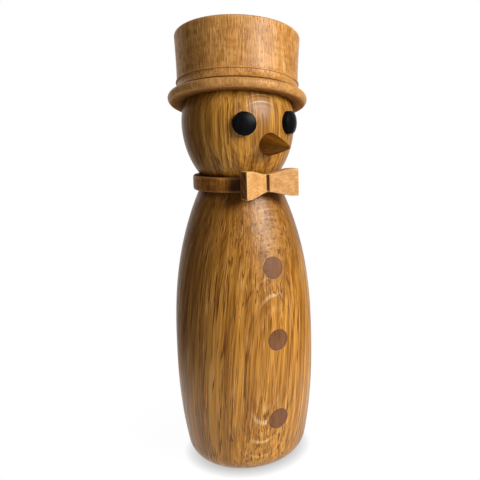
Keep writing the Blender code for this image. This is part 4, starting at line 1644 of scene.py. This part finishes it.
@dataclass
class EggHead(SubAssembly):
    """The turned oak head with its domed eyes and its cone nose."""

    ball_radius: float = 0.0259
    eye_line_above_neck: float = 0.0290
    foot_radius: float = 0.0131
    turn: float = 5.2
    eye_radius: float = 0.0051
    eye_spread: float = 26.8
    eye_below_eye_line: float = 0.0004
    eye_seat_depth: float = 0.003
    eye_side_proud: float = 0.0018
    eye_dome_height: float = 0.0013
    eye_edge: float = 0.0004
    seat_gap: float = 0.00008
    nose_radius: float = 0.0050
    nose_length: float = 0.0150
    nose_below_eye_line: float = 0.0096
    nose_droop: float = 3.8
    nose_seat_depth: float = 0.0015
    nose_tip_radius: float = 0.0007
    nose_bulge: float = 1.25
    tenon_radius: float = 0.0025
    tenon_length: float = 0.008
    bore_radius: float = 0.0053
    bore_depth: float = 0.0163
    segments: int = 180

    BALL_STEPS = 56
    CHIN_STEPS = 64
    FOOT_STEPS = 6
    DOME_STEPS = 24
    RIM_STEPS = 6
    SIDE_STEPS = 8
    TIP_STEPS = 10
    CONE_STEPS = 48
    SEAT_OVERCUT = 0.004

    def __post_init__(self) -> None:
        """Take the head's place from the frame."""
        self.neck_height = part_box("head")[0][2]
        self.eye_line = self.neck_height + self.eye_line_above_neck
        narrowed = 1.0 - (self.foot_radius / self.ball_radius) ** 2
        self.chin_reach = self.eye_line_above_neck / math.sqrt(narrowed)

    def radius(self, drop: float) -> float:
        """Return the head's radius at a drop below the eye line, negative above it."""
        reach = self.chin_reach if drop > 0.0 else self.ball_radius
        return self.ball_radius * math.sqrt(max(0.0, 1.0 - (drop / reach) ** 2))

    def outline(self) -> Outline:
        """Work out the head's outline: a ball above the eye line, drawn out into an egg below it.

        Returns:
            The outline, top to bottom.
        """
        points = [(0.0, self.eye_line + self.ball_radius)]
        points += arc((0.0, self.eye_line), self.ball_radius, 90.0, 0.0, self.BALL_STEPS)[1:]
        last = math.asin(self.eye_line_above_neck / self.chin_reach)
        for i in range(1, self.CHIN_STEPS + 1):
            drop = self.chin_reach * math.sin(last * i / self.CHIN_STEPS)
            points.append((self.radius(drop), self.eye_line - drop))
        edge = points[-1]
        return points + straight(edge, (0.0, edge[1]), self.FOOT_STEPS) + [(0.0, edge[1])]

    def eye_outline(self) -> Outline:
        """Work out a plug's outline: a shallow dome with a softened rim.

        Returns:
            The outline, in heights above the head's surface.
        """
        rim = self.eye_side_proud
        dome_radius = (self.eye_radius**2 + self.eye_dome_height**2) / (2.0 * self.eye_dome_height)
        dome_centre = rim + self.eye_dome_height - dome_radius
        edge_angle = math.degrees(math.asin((rim - dome_centre) / dome_radius))
        inset = math.degrees(self.eye_edge / dome_radius)
        points = [(0.0, rim + self.eye_dome_height)]
        points += arc((0.0, dome_centre), dome_radius, 90.0, edge_angle + inset, self.DOME_STEPS)[1:]
        dome_end = points[-1]
        corner = (self.eye_radius, dome_end[1])
        low = (self.eye_radius, rim - self.eye_edge)
        for i in range(1, self.RIM_STEPS + 1):
            s = i / self.RIM_STEPS
            near = (1 - s) ** 2
            middle = 2 * s * (1 - s)
            far = s * s
            x = near * dome_end[0] + middle * corner[0] + far * low[0]
            points.append((x, near * dome_end[1] + middle * corner[1] + far * low[1]))
        foot = (self.eye_radius, -self.eye_seat_depth)
        return points + straight(low, foot, self.SIDE_STEPS) + [foot, (0.0, -self.eye_seat_depth)]

    def nose_outline(self) -> Outline:
        """Work out the nose's outline, with its tenon.

        Returns:
            The outline, in distances from the head's surface.
        """
        tip_centre = self.nose_length - self.nose_tip_radius
        points = [(0.0, self.nose_length)]
        points += arc((0.0, tip_centre), self.nose_tip_radius, 90.0, 0.0, self.TIP_STEPS)[1:]
        for i in range(1, self.CONE_STEPS + 1):
            share = i / self.CONE_STEPS
            reach = 1.0 - (1.0 - share) ** self.nose_bulge
            radius = self.nose_tip_radius + (self.nose_radius - self.nose_tip_radius) * reach
            points.append((radius, tip_centre * (1.0 - share)))
        points += [(self.nose_radius, -self.nose_seat_depth), (self.tenon_radius, -self.nose_seat_depth)]
        return points + [(self.tenon_radius, -self.tenon_length), (0.0, -self.tenon_length)]

    def eye_places(self) -> list[Matrix]:
        """Work out where the eyes sit.

        Returns:
            The two seats' frames on the head's surface.
        """
        height = self.eye_line - self.eye_below_eye_line
        surface = self.radius(self.eye_below_eye_line)
        return [outward(self.turn + side * self.eye_spread, height, surface) for side in (-1.0, 1.0)]

    def nose_place(self) -> Matrix:
        """Return the nose's frame on the head's surface."""
        height = self.eye_line - self.nose_below_eye_line
        return outward(self.turn, height, self.radius(self.nose_below_eye_line), self.nose_droop)

    def build(self) -> None:
        """Make and dress the head, its eyes and its nose."""
        self._build_ball()
        self._build_eyes()
        self._build_nose()

    def _build_ball(self) -> None:
        """Make and dress the head, with its seats and its bore."""
        oak = OakFinish(
            "oiled_oak_head",
            line_at=0.02559,
            heading=-3.0,
            spiral=0.0,
            follow=0.75,
            open_front=0.0,
            gleams=0.20,
            arcs_from=self.eye_line - 0.002,
            dot_strength=0.0,
            pore_strength=0.16,
            line_strength=0.66,
            dark_streaks=0.34,
            pale=(0.73, 0.350, 0.052),
            deep=(0.22, 0.069, 0.003),
            zones=(
                # Painted shade on the head's -X side, turned from the key lamp.
                DarkZone(heading=-115.0, none_at=72.0, full_at=30.0, low=0.0, high=0.001, strength=0.50),
                # Painted shade on the chin, above the collar and the bow.
                DarkZone(low=0.1380, high=0.1350, strength=0.70),
            ),
        )
        head = self.turned("turned_head", self.outline(), self.segments, oak.material(self.groups))
        gap = self.seat_gap
        eye_step = (self.eye_radius + gap, -self.eye_seat_depth - gap)
        for place in self.eye_places():
            cut(head, stepped_hole(self.SEAT_OVERCUT, eye_step), place, self.trees, HOLE_SEGMENTS)
        seat_step = (self.nose_radius + gap, -self.nose_seat_depth - gap)
        tenon_step = (self.tenon_radius + gap, -self.tenon_length - gap)
        nose_hole = stepped_hole(self.SEAT_OVERCUT, seat_step, tenon_step)
        cut(head, nose_hole, self.nose_place(), self.trees, HOLE_SEGMENTS)
        bore_top = self.neck_height + self.bore_depth
        bore = stepped_hole(bore_top, (self.bore_radius, self.neck_height - OVERCUT))
        cut(head, bore, Matrix.Identity(4), self.trees, BORE_SEGMENTS)
        finish_piece(head, Slot.OAK, Carrier.HEAD, ("head",))

    def _build_eyes(self) -> None:
        """Make and dress the two eyes."""
        values = {
            "Segments": HOLE_SEGMENTS,
            "Spread": math.radians(self.eye_spread),
            "Turn": math.radians(self.turn),
            "Surface Radius": self.radius(self.eye_below_eye_line),
            "Height": self.eye_line - self.eye_below_eye_line,
            "Material": BLACK_EYE.material(self.groups),
        }
        outline = outline_mesh("eye_plugs", self.eye_outline())
        eyes = grown("eye_plugs", outline, self.trees.plugs_round_head, values)
        finish_piece(eyes, Slot.BLACK_STAIN, Carrier.HEAD, ("eye_left", "eye_right"))

    def _build_nose(self) -> None:
        """Make and dress the nose."""
        place = self.nose_place()
        material = TEAK_NOSE.material(self.groups, place)
        nose = self.turned("cone_nose", self.nose_outline(), HOLE_SEGMENTS, material)
        nose.data.transform(place)
        finish_piece(nose, Slot.TEAK, Carrier.HEAD, ("nose",))


@dataclass
class CollarAndBow(SubAssembly):
    """The loose ring round the neck and the carved bow on its front."""

    wall: float = 0.00235
    outer_fillet: float = 0.0010
    inner_fillet: float = 0.0004
    turn: float = 1.9
    bow_width: float = 0.0266
    waist_height: float = 0.0079
    end_height: float = 0.0122
    waist_thickness: float = 0.0030
    front_sweep: float = 0.0050
    back_sweep: float = 0.0035
    back_sink: float = 0.0012
    flat_end: float = 0.15
    edge_radius: float = 0.00035
    end_margins: tuple[float, ...] = (0.0016, 0.0011, 0.0007, 0.0004)
    groove_width: float = 0.0017
    groove_depth: float = 0.0009
    groove_stop: float = 0.0006
    seat_gap: float = 0.00008
    pin_hole_radius: float = 0.00155
    pin_into_bow: float = 0.0018
    segments: int = 180

    OUTER_STEPS = 10
    INNER_STEPS = 6
    WALL_STEPS = 8
    CORNER_STEPS = 5
    FACE_STEPS = 10
    END_STEPS = 6
    WIDE_STEPS = 180
    GROOVE_STEEPNESS = 2.5
    PIN_SEGMENTS = 32
    PIN_OVERCUT = 0.001

    def __post_init__(self) -> None:
        """Take the ring's and the bow's places from the frame."""
        low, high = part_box("collar")
        self.low = low[2]
        self.height = high[2] - low[2]
        self.outer_radius = (high[0] - low[0]) / 2
        bow_low, bow_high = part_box("bow_tie")
        self.bow_height = (bow_low[2] + bow_high[2]) / 2
        self.seat_radius = self.outer_radius + self.seat_gap

    def ring_outline(self) -> Outline:
        """Work out the ring's section.

        Returns:
            The closed section, outer side first.
        """
        outer = self.outer_radius - self.outer_fillet
        inner = self.outer_radius - self.wall + self.inner_fillet
        high = self.low + self.height
        points = arc((outer, high - self.outer_fillet), self.outer_fillet, 90.0, 0.0, self.OUTER_STEPS)
        low_outer = (self.outer_radius, self.low + self.outer_fillet)
        points += straight(points[-1], low_outer, self.WALL_STEPS)
        points += arc((outer, low_outer[1]), self.outer_fillet, 0.0, -90.0, self.OUTER_STEPS)
        low_inner = (inner, self.low + self.inner_fillet)
        points += arc(low_inner, self.inner_fillet, -90.0, -180.0, self.INNER_STEPS)
        high_inner = (inner - self.inner_fillet, high - self.inner_fillet)
        points += straight(points[-1], high_inner, self.WALL_STEPS)
        points += arc((inner, high_inner[1]), self.inner_fillet, 180.0, 90.0, self.INNER_STEPS)
        return points + [points[0]]

    def half_height(self, offset: float) -> float:
        """Work out the bow's half height.

        Args:
            offset: Distance to one side of the bow's middle.

        Returns:
            The half height there.
        """
        share = min(1.0, abs(offset) / (self.bow_width / 2 * (1.0 - self.flat_end)))
        flare = (1.0 - math.cos(math.pi * share)) / 2
        return (self.waist_height + (self.end_height - self.waist_height) * flare) / 2

    def groove(self, offset: float, height: float) -> float:
        """Work out the groove's depth: steep sides, and shallow ends.

        Args:
            offset: Distance to one side of the bow's middle.
            height: Distance above the bow's middle.

        Returns:
            The share of its full depth there.
        """
        from_side = 1.0 - abs(offset) / (self.groove_width / 2)
        across = min(1.0, max(0.0, from_side * self.GROOVE_STEEPNESS))
        along = min(1.0, max(0.0, (self.half_height(offset) - abs(height)) / self.groove_stop))
        return across * across * (3.0 - 2.0 * across) * along

    def front(self, offset: float) -> float:
        """Return the front face's distance from the axis at an offset."""
        waist = self.seat_radius + self.waist_thickness
        return waist + self.front_sweep * abs(offset) / (self.bow_width / 2)

    def back(self, offset: float) -> float:
        """Return the back face's distance from the axis: wings that are cut round against the ring."""
        wing = self.seat_radius - self.back_sink + self.back_sweep * abs(offset) / (self.bow_width / 2)
        return max(wing, math.sqrt(max(0.0, self.seat_radius**2 - offset**2)))

    def bow_section(self, offset: float, inset: float) -> list[tuple[Vector, float]]:
        """Return a rounded section of the bow across one offset.

        Args:
            offset: Distance to one side of the bow's middle.
            inset: How far the section is drawn in, near the bow's ends.

        Returns:
            The section's points, each with its share of the groove.
        """
        radius = self.edge_radius
        half = self.half_height(offset) - inset
        near = self.front(offset) - inset
        far = self.back(offset) + inset
        corners = [
            ((near - radius, half - radius), 0.0),
            ((far + radius, half - radius), 90.0),
            ((far + radius, radius - half), 180.0),
            ((near - radius, radius - half), 270.0),
        ]
        points: Outline = []
        for index, (centre, start) in enumerate(corners):
            points += arc(centre, radius, start, start + 90.0, self.CORNER_STEPS)
            following, angle = corners[(index + 1) % len(corners)]
            next_point = arc(following, radius, angle, angle, 1)[0]
            points += straight(points[-1], next_point, self.FACE_STEPS)
        section = []
        for distance, height in points:
            share = self.groove(offset, height) if distance > near - radius else 0.0
            section.append((Vector((offset, self.groove_depth * share - distance, height)), share))
        return section

    def stations(self) -> Outline:
        """Work out where the bow's sections stand, closer together at its rounded ends.

        Returns:
            Each section's offset and its inset, from one end to the other.
        """
        edge, wide = self.edge_radius, self.WIDE_STEPS
        inner = self.bow_width / 2 - edge
        bend = arc((0.0, 0.0), edge, 0.0, 90.0, self.END_STEPS)[:-1]
        rounding = [(self.bow_width / 2, edge + margin) for margin in self.end_margins]
        rounding += [(inner + x, edge - y) for x, y in bend]
        stations = [(-offset, inset) for offset, inset in rounding]
        stations += [(inner * (2.0 * i / wide - 1.0), 0.0) for i in range(wide + 1)]
        return stations + list(reversed(rounding))

    def bow_mesh(self) -> Mesh:
        """Loft the bow through its sections and cap it at both ends.

        Returns:
            The bow's mesh, its groove marked for grime and painted shade.
        """
        shape = bmesh.new()
        groove_dirt_and_shade = shape.verts.layers.float.new(CREASE_DIRT_AND_SHADE)
        loops = []
        for station in self.stations():
            loop = []
            for point, share in self.bow_section(*station):
                corner = shape.verts.new(point)
                # The groove's share darkens it with grime and painted shade.
                corner[groove_dirt_and_shade] = share
                loop.append(corner)
            loops.append(loop)
        count = len(loops[0])
        for first, second in zip(loops, loops[1:]):
            for i in range(count):
                shape.faces.new((first[i], first[(i + 1) % count], second[(i + 1) % count], second[i]))
        shape.faces.new(loops[0])
        shape.faces.new(reversed(loops[-1]))
        bmesh.ops.recalc_face_normals(shape, faces=shape.faces)
        mesh = bpy.data.meshes.new("carved_bow")
        shape.to_mesh(mesh)
        shape.free()
        return mesh

    def _cut_pin_hole(self, made: Object, top: float) -> None:
        """Cut the pin's hole into a piece.

        Args:
            made: The ring or the bow.
            top: How far from the axis the hole starts, on its way inwards through the ring's wall.
        """
        step = (self.pin_hole_radius, self.outer_radius - self.wall - self.PIN_OVERCUT)
        middle = outward(self.turn, self.low + self.height / 2)
        cut(made, stepped_hole(top, step), middle, self.trees, self.PIN_SEGMENTS)

    def build(self) -> None:
        """Make and dress the ring and the bow."""
        material = MAPLE_COLLAR.material(self.groups)
        ring = self.turned("neck_ring", self.ring_outline(), self.segments, material)
        self._cut_pin_hole(ring, self.outer_radius + self.PIN_OVERCUT)
        finish_piece(ring, Slot.MAPLE, Carrier.COLLAR, ("collar",))

        grain = Matrix.Rotation(math.radians(90.0), 4, "Y")
        bow = mesh_object("carved_bow", self.bow_mesh(), MAPLE_BOW.material(self.groups, grain))
        rise = Matrix.Translation((0.0, 0.0, self.bow_height))
        bow.data.transform(rise @ Matrix.Rotation(math.radians(self.turn), 4, "Z"))
        self._cut_pin_hole(bow, self.seat_radius + self.pin_into_bow)
        finish_piece(bow, Slot.MAPLE, Carrier.COLLAR, ("bow_tie",))


@dataclass
class TopHat(SubAssembly):
    """The turned maple hat, leaning on the head's ball."""

    tilt: float = 14.0
    tilt_heading: float = 58.3
    mouth_rise: float = 0.0077
    height: float = 0.0326
    mouth_chamfer: float = 0.0005
    brim_width: float = 0.0070
    brim_thickness: float = 0.0048
    crease_inset: float = 0.0030
    crease_step: float = 0.0005
    lip_inset: float = 0.0026
    cove_inset: float = 0.0041
    cove_height: float = 0.0040
    cove_flare: float = 2.0
    bead_inset: float = 0.0036
    bead_radius: float = 0.0005
    crown_foot_inset: float = 0.0041
    crown_top_inset: float = 0.0028
    crown_top_fillet: float = 0.0010
    crown_flare: float = 1.4
    seat_gap: float = 0.0003
    joint_shade_reach: float = 0.0008
    mouth_shade_reach: float = 0.0013
    creases: float = 0.12
    segments: int = 200

    TOP_STEPS = 12
    FILLET_STEPS = 10
    SIDE_STEPS = 40
    BEAD_SWEEP = 70.0
    BEAD_STEPS = 12
    COVE_STEPS = 24
    ROLL_STEPS = 48
    SOCKET_STEPS = 48
    JOINT_SHADE_GAIN = 1.6

    def axes(self, ball_centre: float) -> Matrix:
        """Work out the hat's leaning axes.

        Args:
            ball_centre: The height of the head's centre.

        Returns:
            The axes, standing on that centre.
        """
        heading = math.radians(self.tilt_heading)
        lean_axis = Vector((-math.sin(heading), math.cos(heading), 0.0))
        lean = Matrix.Rotation(math.radians(self.tilt), 4, lean_axis)
        return Matrix.Translation((0.0, 0.0, ball_centre)) @ lean

    def mouth_radius(self, ball_radius: float) -> float:
        """Return the radius of the socket's mouth."""
        return math.sqrt((ball_radius + self.seat_gap) ** 2 - self.mouth_rise**2)

    def crease_height(self) -> float:
        """Work out where the brim's roll meets the cove.

        Returns:
            The height of the crease between them.
        """
        roll = self.brim_thickness / 2
        level = 1.0 - self.crease_inset / roll
        return self.mouth_rise + roll * (1.0 + math.sqrt(1.0 - level**2))

    def mark_joint_dirt_and_shade(self, mesh: Mesh, ball_radius: float) -> None:
        """Mark the crease above the brim and the socket's mouth with grime and painted shade, where the hat
        meets the head.

        Args:
            mesh: The hat's mesh.
            ball_radius: The radius of the head's ball.
        """
        layer = mesh.attributes.new(CREASE_DIRT_AND_SHADE, "FLOAT", "POINT")
        joint = self.crease_height() + self.crease_step / 2
        mouth = self.mouth_radius(ball_radius)
        for corner, mark in zip(mesh.vertices, layer.data):
            radius = math.hypot(corner.co.x, corner.co.y)
            at_joint = 1.0 - abs(corner.co.z - joint) / self.joint_shade_reach if radius > mouth else 0.0
            at_mouth = 1.0 - math.dist((radius, corner.co.z), (mouth, self.mouth_rise)) / self.mouth_shade_reach
            mark.value = max(0.0, min(1.0, self.JOINT_SHADE_GAIN * max(at_joint, at_mouth)))

    def outline(self, ball_radius: float) -> Outline:
        """Work out the hat's outline.

        Args:
            ball_radius: The radius of the head's ball.

        Returns:
            Points from the centre of its top, down its side and up into its socket.
        """
        socket = ball_radius + self.seat_gap
        mouth = self.mouth_radius(ball_radius)
        brim = mouth + self.brim_width
        roll = self.brim_thickness / 2
        roll_centre = (brim - roll, self.mouth_rise + roll)
        crease_angle = math.degrees(math.acos(1.0 - self.crease_inset / roll))
        crease = self.crease_height()
        cove_top = crease + self.crease_step + self.cove_height
        crown_low = cove_top + 2.0 * self.bead_radius
        top = self.mouth_rise + self.height
        crown_high = top - self.crown_top_fillet
        crown_foot = brim - self.crown_foot_inset
        crown_top = brim - self.crown_top_inset

        edge = (crown_top - self.crown_top_fillet, crown_high)
        points = [(0.0, top)] + straight((0.0, top), (edge[0], top), self.TOP_STEPS)
        points += arc(edge, self.crown_top_fillet, 90.0, 0.0, self.FILLET_STEPS)
        for i in range(1, self.SIDE_STEPS + 1):
            share = 1.0 - i / self.SIDE_STEPS
            radius = crown_foot + (crown_top - crown_foot) * share**self.crown_flare
            points.append((radius, crown_low + (crown_high - crown_low) * share))
        bead_centre = (brim - self.bead_inset - self.bead_radius, cove_top + self.bead_radius)
        points += arc(bead_centre, self.bead_radius, self.BEAD_SWEEP, -self.BEAD_SWEEP, self.BEAD_STEPS)
        for i in range(self.COVE_STEPS + 1):
            share = i / self.COVE_STEPS
            radius = brim - self.cove_inset + (self.cove_inset - self.lip_inset) * share**self.cove_flare
            points.append((radius, cove_top - self.cove_height * share))
        points += arc(roll_centre, roll, crease_angle, -90.0, self.ROLL_STEPS)
        points.append((mouth + self.mouth_chamfer, self.mouth_rise))
        first = math.degrees(math.asin((self.mouth_rise + self.mouth_chamfer) / socket))
        points += arc((0.0, 0.0), socket, first, 90.0, self.SOCKET_STEPS)
        points[-1] = (0.0, socket)
        return points

    def build(self, head: EggHead) -> None:
        """Make and dress the hat.

        Args:
            head: The head that it sits on.
        """
        axes = self.axes(head.eye_line)
        material = MAPLE_HAT.material(self.groups, axes)
        hat = self.turned("top_hat", self.outline(head.ball_radius), self.segments, material)
        self.mark_joint_dirt_and_shade(hat.data, head.ball_radius)
        hat.data.transform(axes)
        finish_piece(hat, Slot.MAPLE, Carrier.HAT, ("hat",), self.creases)


@dataclass
class HiddenFixings:
    """The neck dowel and the bow's pin, which keep the frame's own shapes."""

    nodes: tuple[str, ...] = ("neck_dowel", "bow_pin")

    def dress(self, groups: GrainGroups) -> None:
        """Give each fixing its bare beech finish.

        Args:
            groups: The shared shader groups.
        """
        finish = BEECH_DOWEL.material(groups)
        for node in self.nodes:
            for material_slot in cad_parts[node].material_slots:
                material_slot.material = finish
            LOG.info("%s: kept from the frame", node)


@dataclass(frozen=True)
class PhotoCamera:
    """The photograph's viewpoint, with its angles in radians."""

    distance: float = 0.30186
    height: float = 0.16347
    heading: float = -0.4738
    yaw: float = 0.1246
    pitch: float = -0.1432
    roll: float = -0.0127
    lens: float = 47.86
    sensor: float = 36.0
    shift_x: float = -0.1667
    shift_y: float = -0.0722
    clip_start: float = 0.01

    def build(self) -> None:
        """Make the camera and hand it to the scene."""
        stand = Matrix.Rotation(self.heading, 3, "Z")
        level = math.cos(self.pitch)
        forward = Vector((math.sin(self.yaw) * level, math.cos(self.yaw) * level, math.sin(self.pitch)))
        right = Vector((math.cos(self.yaw), -math.sin(self.yaw), 0.0))
        up = right.cross(forward)
        cosine, sine = math.cos(self.roll), math.sin(self.roll)
        right, up = cosine * right + sine * up, cosine * up - sine * right
        axes = Matrix((stand @ right, stand @ up, -(stand @ forward))).transposed()
        data = bpy.data.cameras.new("photo_camera")
        data.lens = self.lens
        data.sensor_width = self.sensor
        data.shift_x = self.shift_x
        data.shift_y = self.shift_y
        data.clip_start = self.clip_start
        camera = bpy.data.objects.new("photo_camera", data)
        bpy.context.scene.collection.objects.link(camera)
        place = stand @ Vector((0.0, -self.distance, self.height))
        camera.matrix_world = Matrix.Translation(place) @ axes.to_4x4()
        bpy.context.scene.camera = camera


@dataclass(frozen=True)
class SoftLamp:
    """A square area lamp aimed at the figure."""

    name: str
    heading: float
    elevation: float
    distance: float
    size: float
    power: float
    colour: Colour = (1.0, 1.0, 1.0)
    mirrored: bool = True
    aim_height: float = 0.10

    def build(self) -> None:
        """Make the lamp."""
        data = bpy.data.lights.new(self.name, "AREA")
        data.shape = "SQUARE"
        data.size = self.size
        data.energy = self.power
        data.color = self.colour
        lamp = bpy.data.objects.new(self.name, data)
        lamp.visible_glossy = self.mirrored
        bpy.context.scene.collection.objects.link(lamp)
        level = math.cos(math.radians(self.elevation))
        heading = math.radians(self.heading)
        rise = math.sin(math.radians(self.elevation))
        away = Vector((math.sin(heading) * level, -math.cos(heading) * level, rise))
        aim = Vector((0.0, 0.0, self.aim_height))
        turned = away.to_track_quat("Z", "Y").to_matrix().to_4x4()
        lamp.matrix_world = Matrix.Translation(aim + away * self.distance) @ turned


WHITE = (1.0, 1.0, 1.0, 1.0)
WARM_WHITE = (1.0, 0.98, 0.95)


@dataclass
class Studio:
    """A plain pale floor, a white surround and soft lamps."""

    floor_size: float = 8.0
    floor_white: float = 0.97
    floor_shade: float = 0.06
    floor_colour: float = 0.70
    # Reach and depth of the painted shadow at the figure's foot.
    contact_reach: float = 0.006
    contact_depth: float = 0.52
    shadow_reach: tuple[float, float] = (0.045, 0.090)
    mirrored_reach: tuple[float, float] = (0.070, 0.200)
    ambient: float = 0.08
    mirrored_room: float = 0.02
    backdrop_heading: float = 153.0
    backdrop_edge: tuple[float, float] = (0.50, 0.95)

    CONTACT_SAMPLES = 16
    LAMPS = (
        SoftLamp(
            "key", heading=21.0, elevation=28.0, distance=0.75, size=0.36, power=6.2, colour=WARM_WHITE
        ),
        SoftLamp(
            "back", heading=-165.0, elevation=25.0, distance=0.80, size=0.40, power=2.4, mirrored=False
        ),
    )

    def _seen_directly(self, writer: NodeWriter) -> tuple[Socket, Socket]:
        """Tell apart how a ray sees a surface.

        Args:
            writer: The material's or the world's writer.

        Returns:
            One for camera rays, and one for glossy and transmitted rays.
        """
        path = writer.add("ShaderNodeLightPath").outputs
        mirrored = writer.maths("MAXIMUM", path["Is Glossy Ray"], path["Is Transmission Ray"])
        return path["Is Camera Ray"], mirrored

    def _behind(self, writer: NodeWriter, direction: Socket) -> Socket:
        """Find how far a direction points at the bright backdrop.

        Args:
            writer: The material's or the world's writer.
            direction: The direction.

        Returns:
            A share from 0 to 1.
        """
        heading = math.radians(self.backdrop_heading)
        backdrop = (math.sin(heading), -math.cos(heading), 0.0)
        return writer.step(writer.vector_maths("DOT_PRODUCT", direction, backdrop), *self.backdrop_edge)

    def _glowing(self, writer: NodeWriter, strength: object) -> Socket:
        """Return a shader that glows white."""
        return writer.add("ShaderNodeEmission", {"Color": WHITE, "Strength": strength}).outputs[0]

    def _matt(self, writer: NodeWriter, level: float) -> Socket:
        """Return a matt grey shader."""
        return writer.add("ShaderNodeBsdfDiffuse", {"Color": (level, level, level, 1.0)}).outputs[0]

    def _either(self, writer: NodeWriter, share: Socket, first: Socket, second: Socket) -> Socket:
        """Return two shaders mixed by the second one's share."""
        return writer.add("ShaderNodeMixShader", {0: share, 1: first, 2: second}).outputs[0]

    def _floor(self) -> None:
        """Lay the floor: white to the camera, with the figure's shadow kept on it and a painted shadow from
        ambient occlusion at its foot.
        """
        mesh = bpy.data.meshes.new("floor")
        half = self.floor_size / 2
        corners = [(-half, -half, 0.0), (half, -half, 0.0), (half, half, 0.0), (-half, half, 0.0)]
        mesh.from_pydata(corners, [], [(0, 1, 2, 3)])
        writer, shader, material = start_material("pale_floor")
        writer.tree.nodes.remove(shader)
        camera, mirrored = self._seen_directly(writer)
        place = writer.add("ShaderNodeTexCoord").outputs["Object"]
        from_figure = writer.vector_maths("LENGTH", place)

        # Painted shadow at the figure's foot: ambient occlusion darkens the floor's glow.
        reach = {"Distance": self.contact_reach}
        openness = writer.add("ShaderNodeAmbientOcclusion", reach, samples=self.CONTACT_SAMPLES)
        painted_contact_shadow = writer.scaled(openness.outputs["AO"], self.contact_depth, 1.0 - self.contact_depth)
        glow = self._glowing(writer, writer.times(painted_contact_shadow, self.floor_white))
        shade = self._matt(writer, self.floor_shade)
        near_foot = writer.add("ShaderNodeAddShader", {0: shade, 1: glow}).outputs[0]
        away = writer.step(from_figure, *self.shadow_reach)
        seen = self._either(writer, away, near_foot, self._glowing(writer, 1.0))

        near = writer.fall(from_figure, *self.mirrored_reach)
        outward_line = writer.vector_maths("NORMALIZE", place)
        bright = writer.maths("MAXIMUM", near, self._behind(writer, outward_line))
        gloss = self._glowing(writer, writer.maths("MAXIMUM", bright, self.mirrored_room))
        direct = self._either(writer, camera, self._matt(writer, self.floor_colour), seen)
        surface = writer.tree.nodes["Material Output"].inputs["Surface"]
        writer.feed(surface, self._either(writer, mirrored, direct, gloss))
        floor = mesh_object("floor", mesh, material)

    def _world(self) -> None:
        """Surround the figure with white that lights it only at the ambient level."""
        world = bpy.data.worlds.new("studio")
        world.use_nodes = True
        writer = NodeWriter(world.node_tree)
        camera, mirrored = self._seen_directly(writer)
        behind = self._behind(writer, writer.add("ShaderNodeTexCoord").outputs["Generated"])
        reflected = writer.maths("MAXIMUM", behind, self.mirrored_room)
        lighting = writer.scaled(mirrored, writer.minus(reflected, self.ambient), self.ambient)
        strength = writer.maths("MAXIMUM", camera, lighting)
        background = world.node_tree.nodes["Background"]
        writer.feed(background.inputs["Color"], WHITE)
        writer.feed(background.inputs["Strength"], strength)
        bpy.context.scene.world = world

    def build(self) -> None:
        """Make the floor, the surround and the lamps."""
        self._floor()
        self._world()
        for lamp in self.LAMPS:
            lamp.build()
        bpy.context.scene.view_settings.view_transform = "Standard"


def main() -> None:
    """Build and dress the figure, then set it in its studio."""
    logging.basicConfig(level=logging.INFO, format="%(name)s: %(message)s")
    PhotoCamera().build()
    trees = GeometryTrees()
    groups = GrainGroups()
    BarrelBody(trees, groups).build()
    head = EggHead(trees, groups)
    head.build()
    CollarAndBow(trees, groups).build()
    TopHat(trees, groups).build(head)
    HiddenFixings().dress(groups)
    Studio().build()


if __name__ == "__main__":
    main()
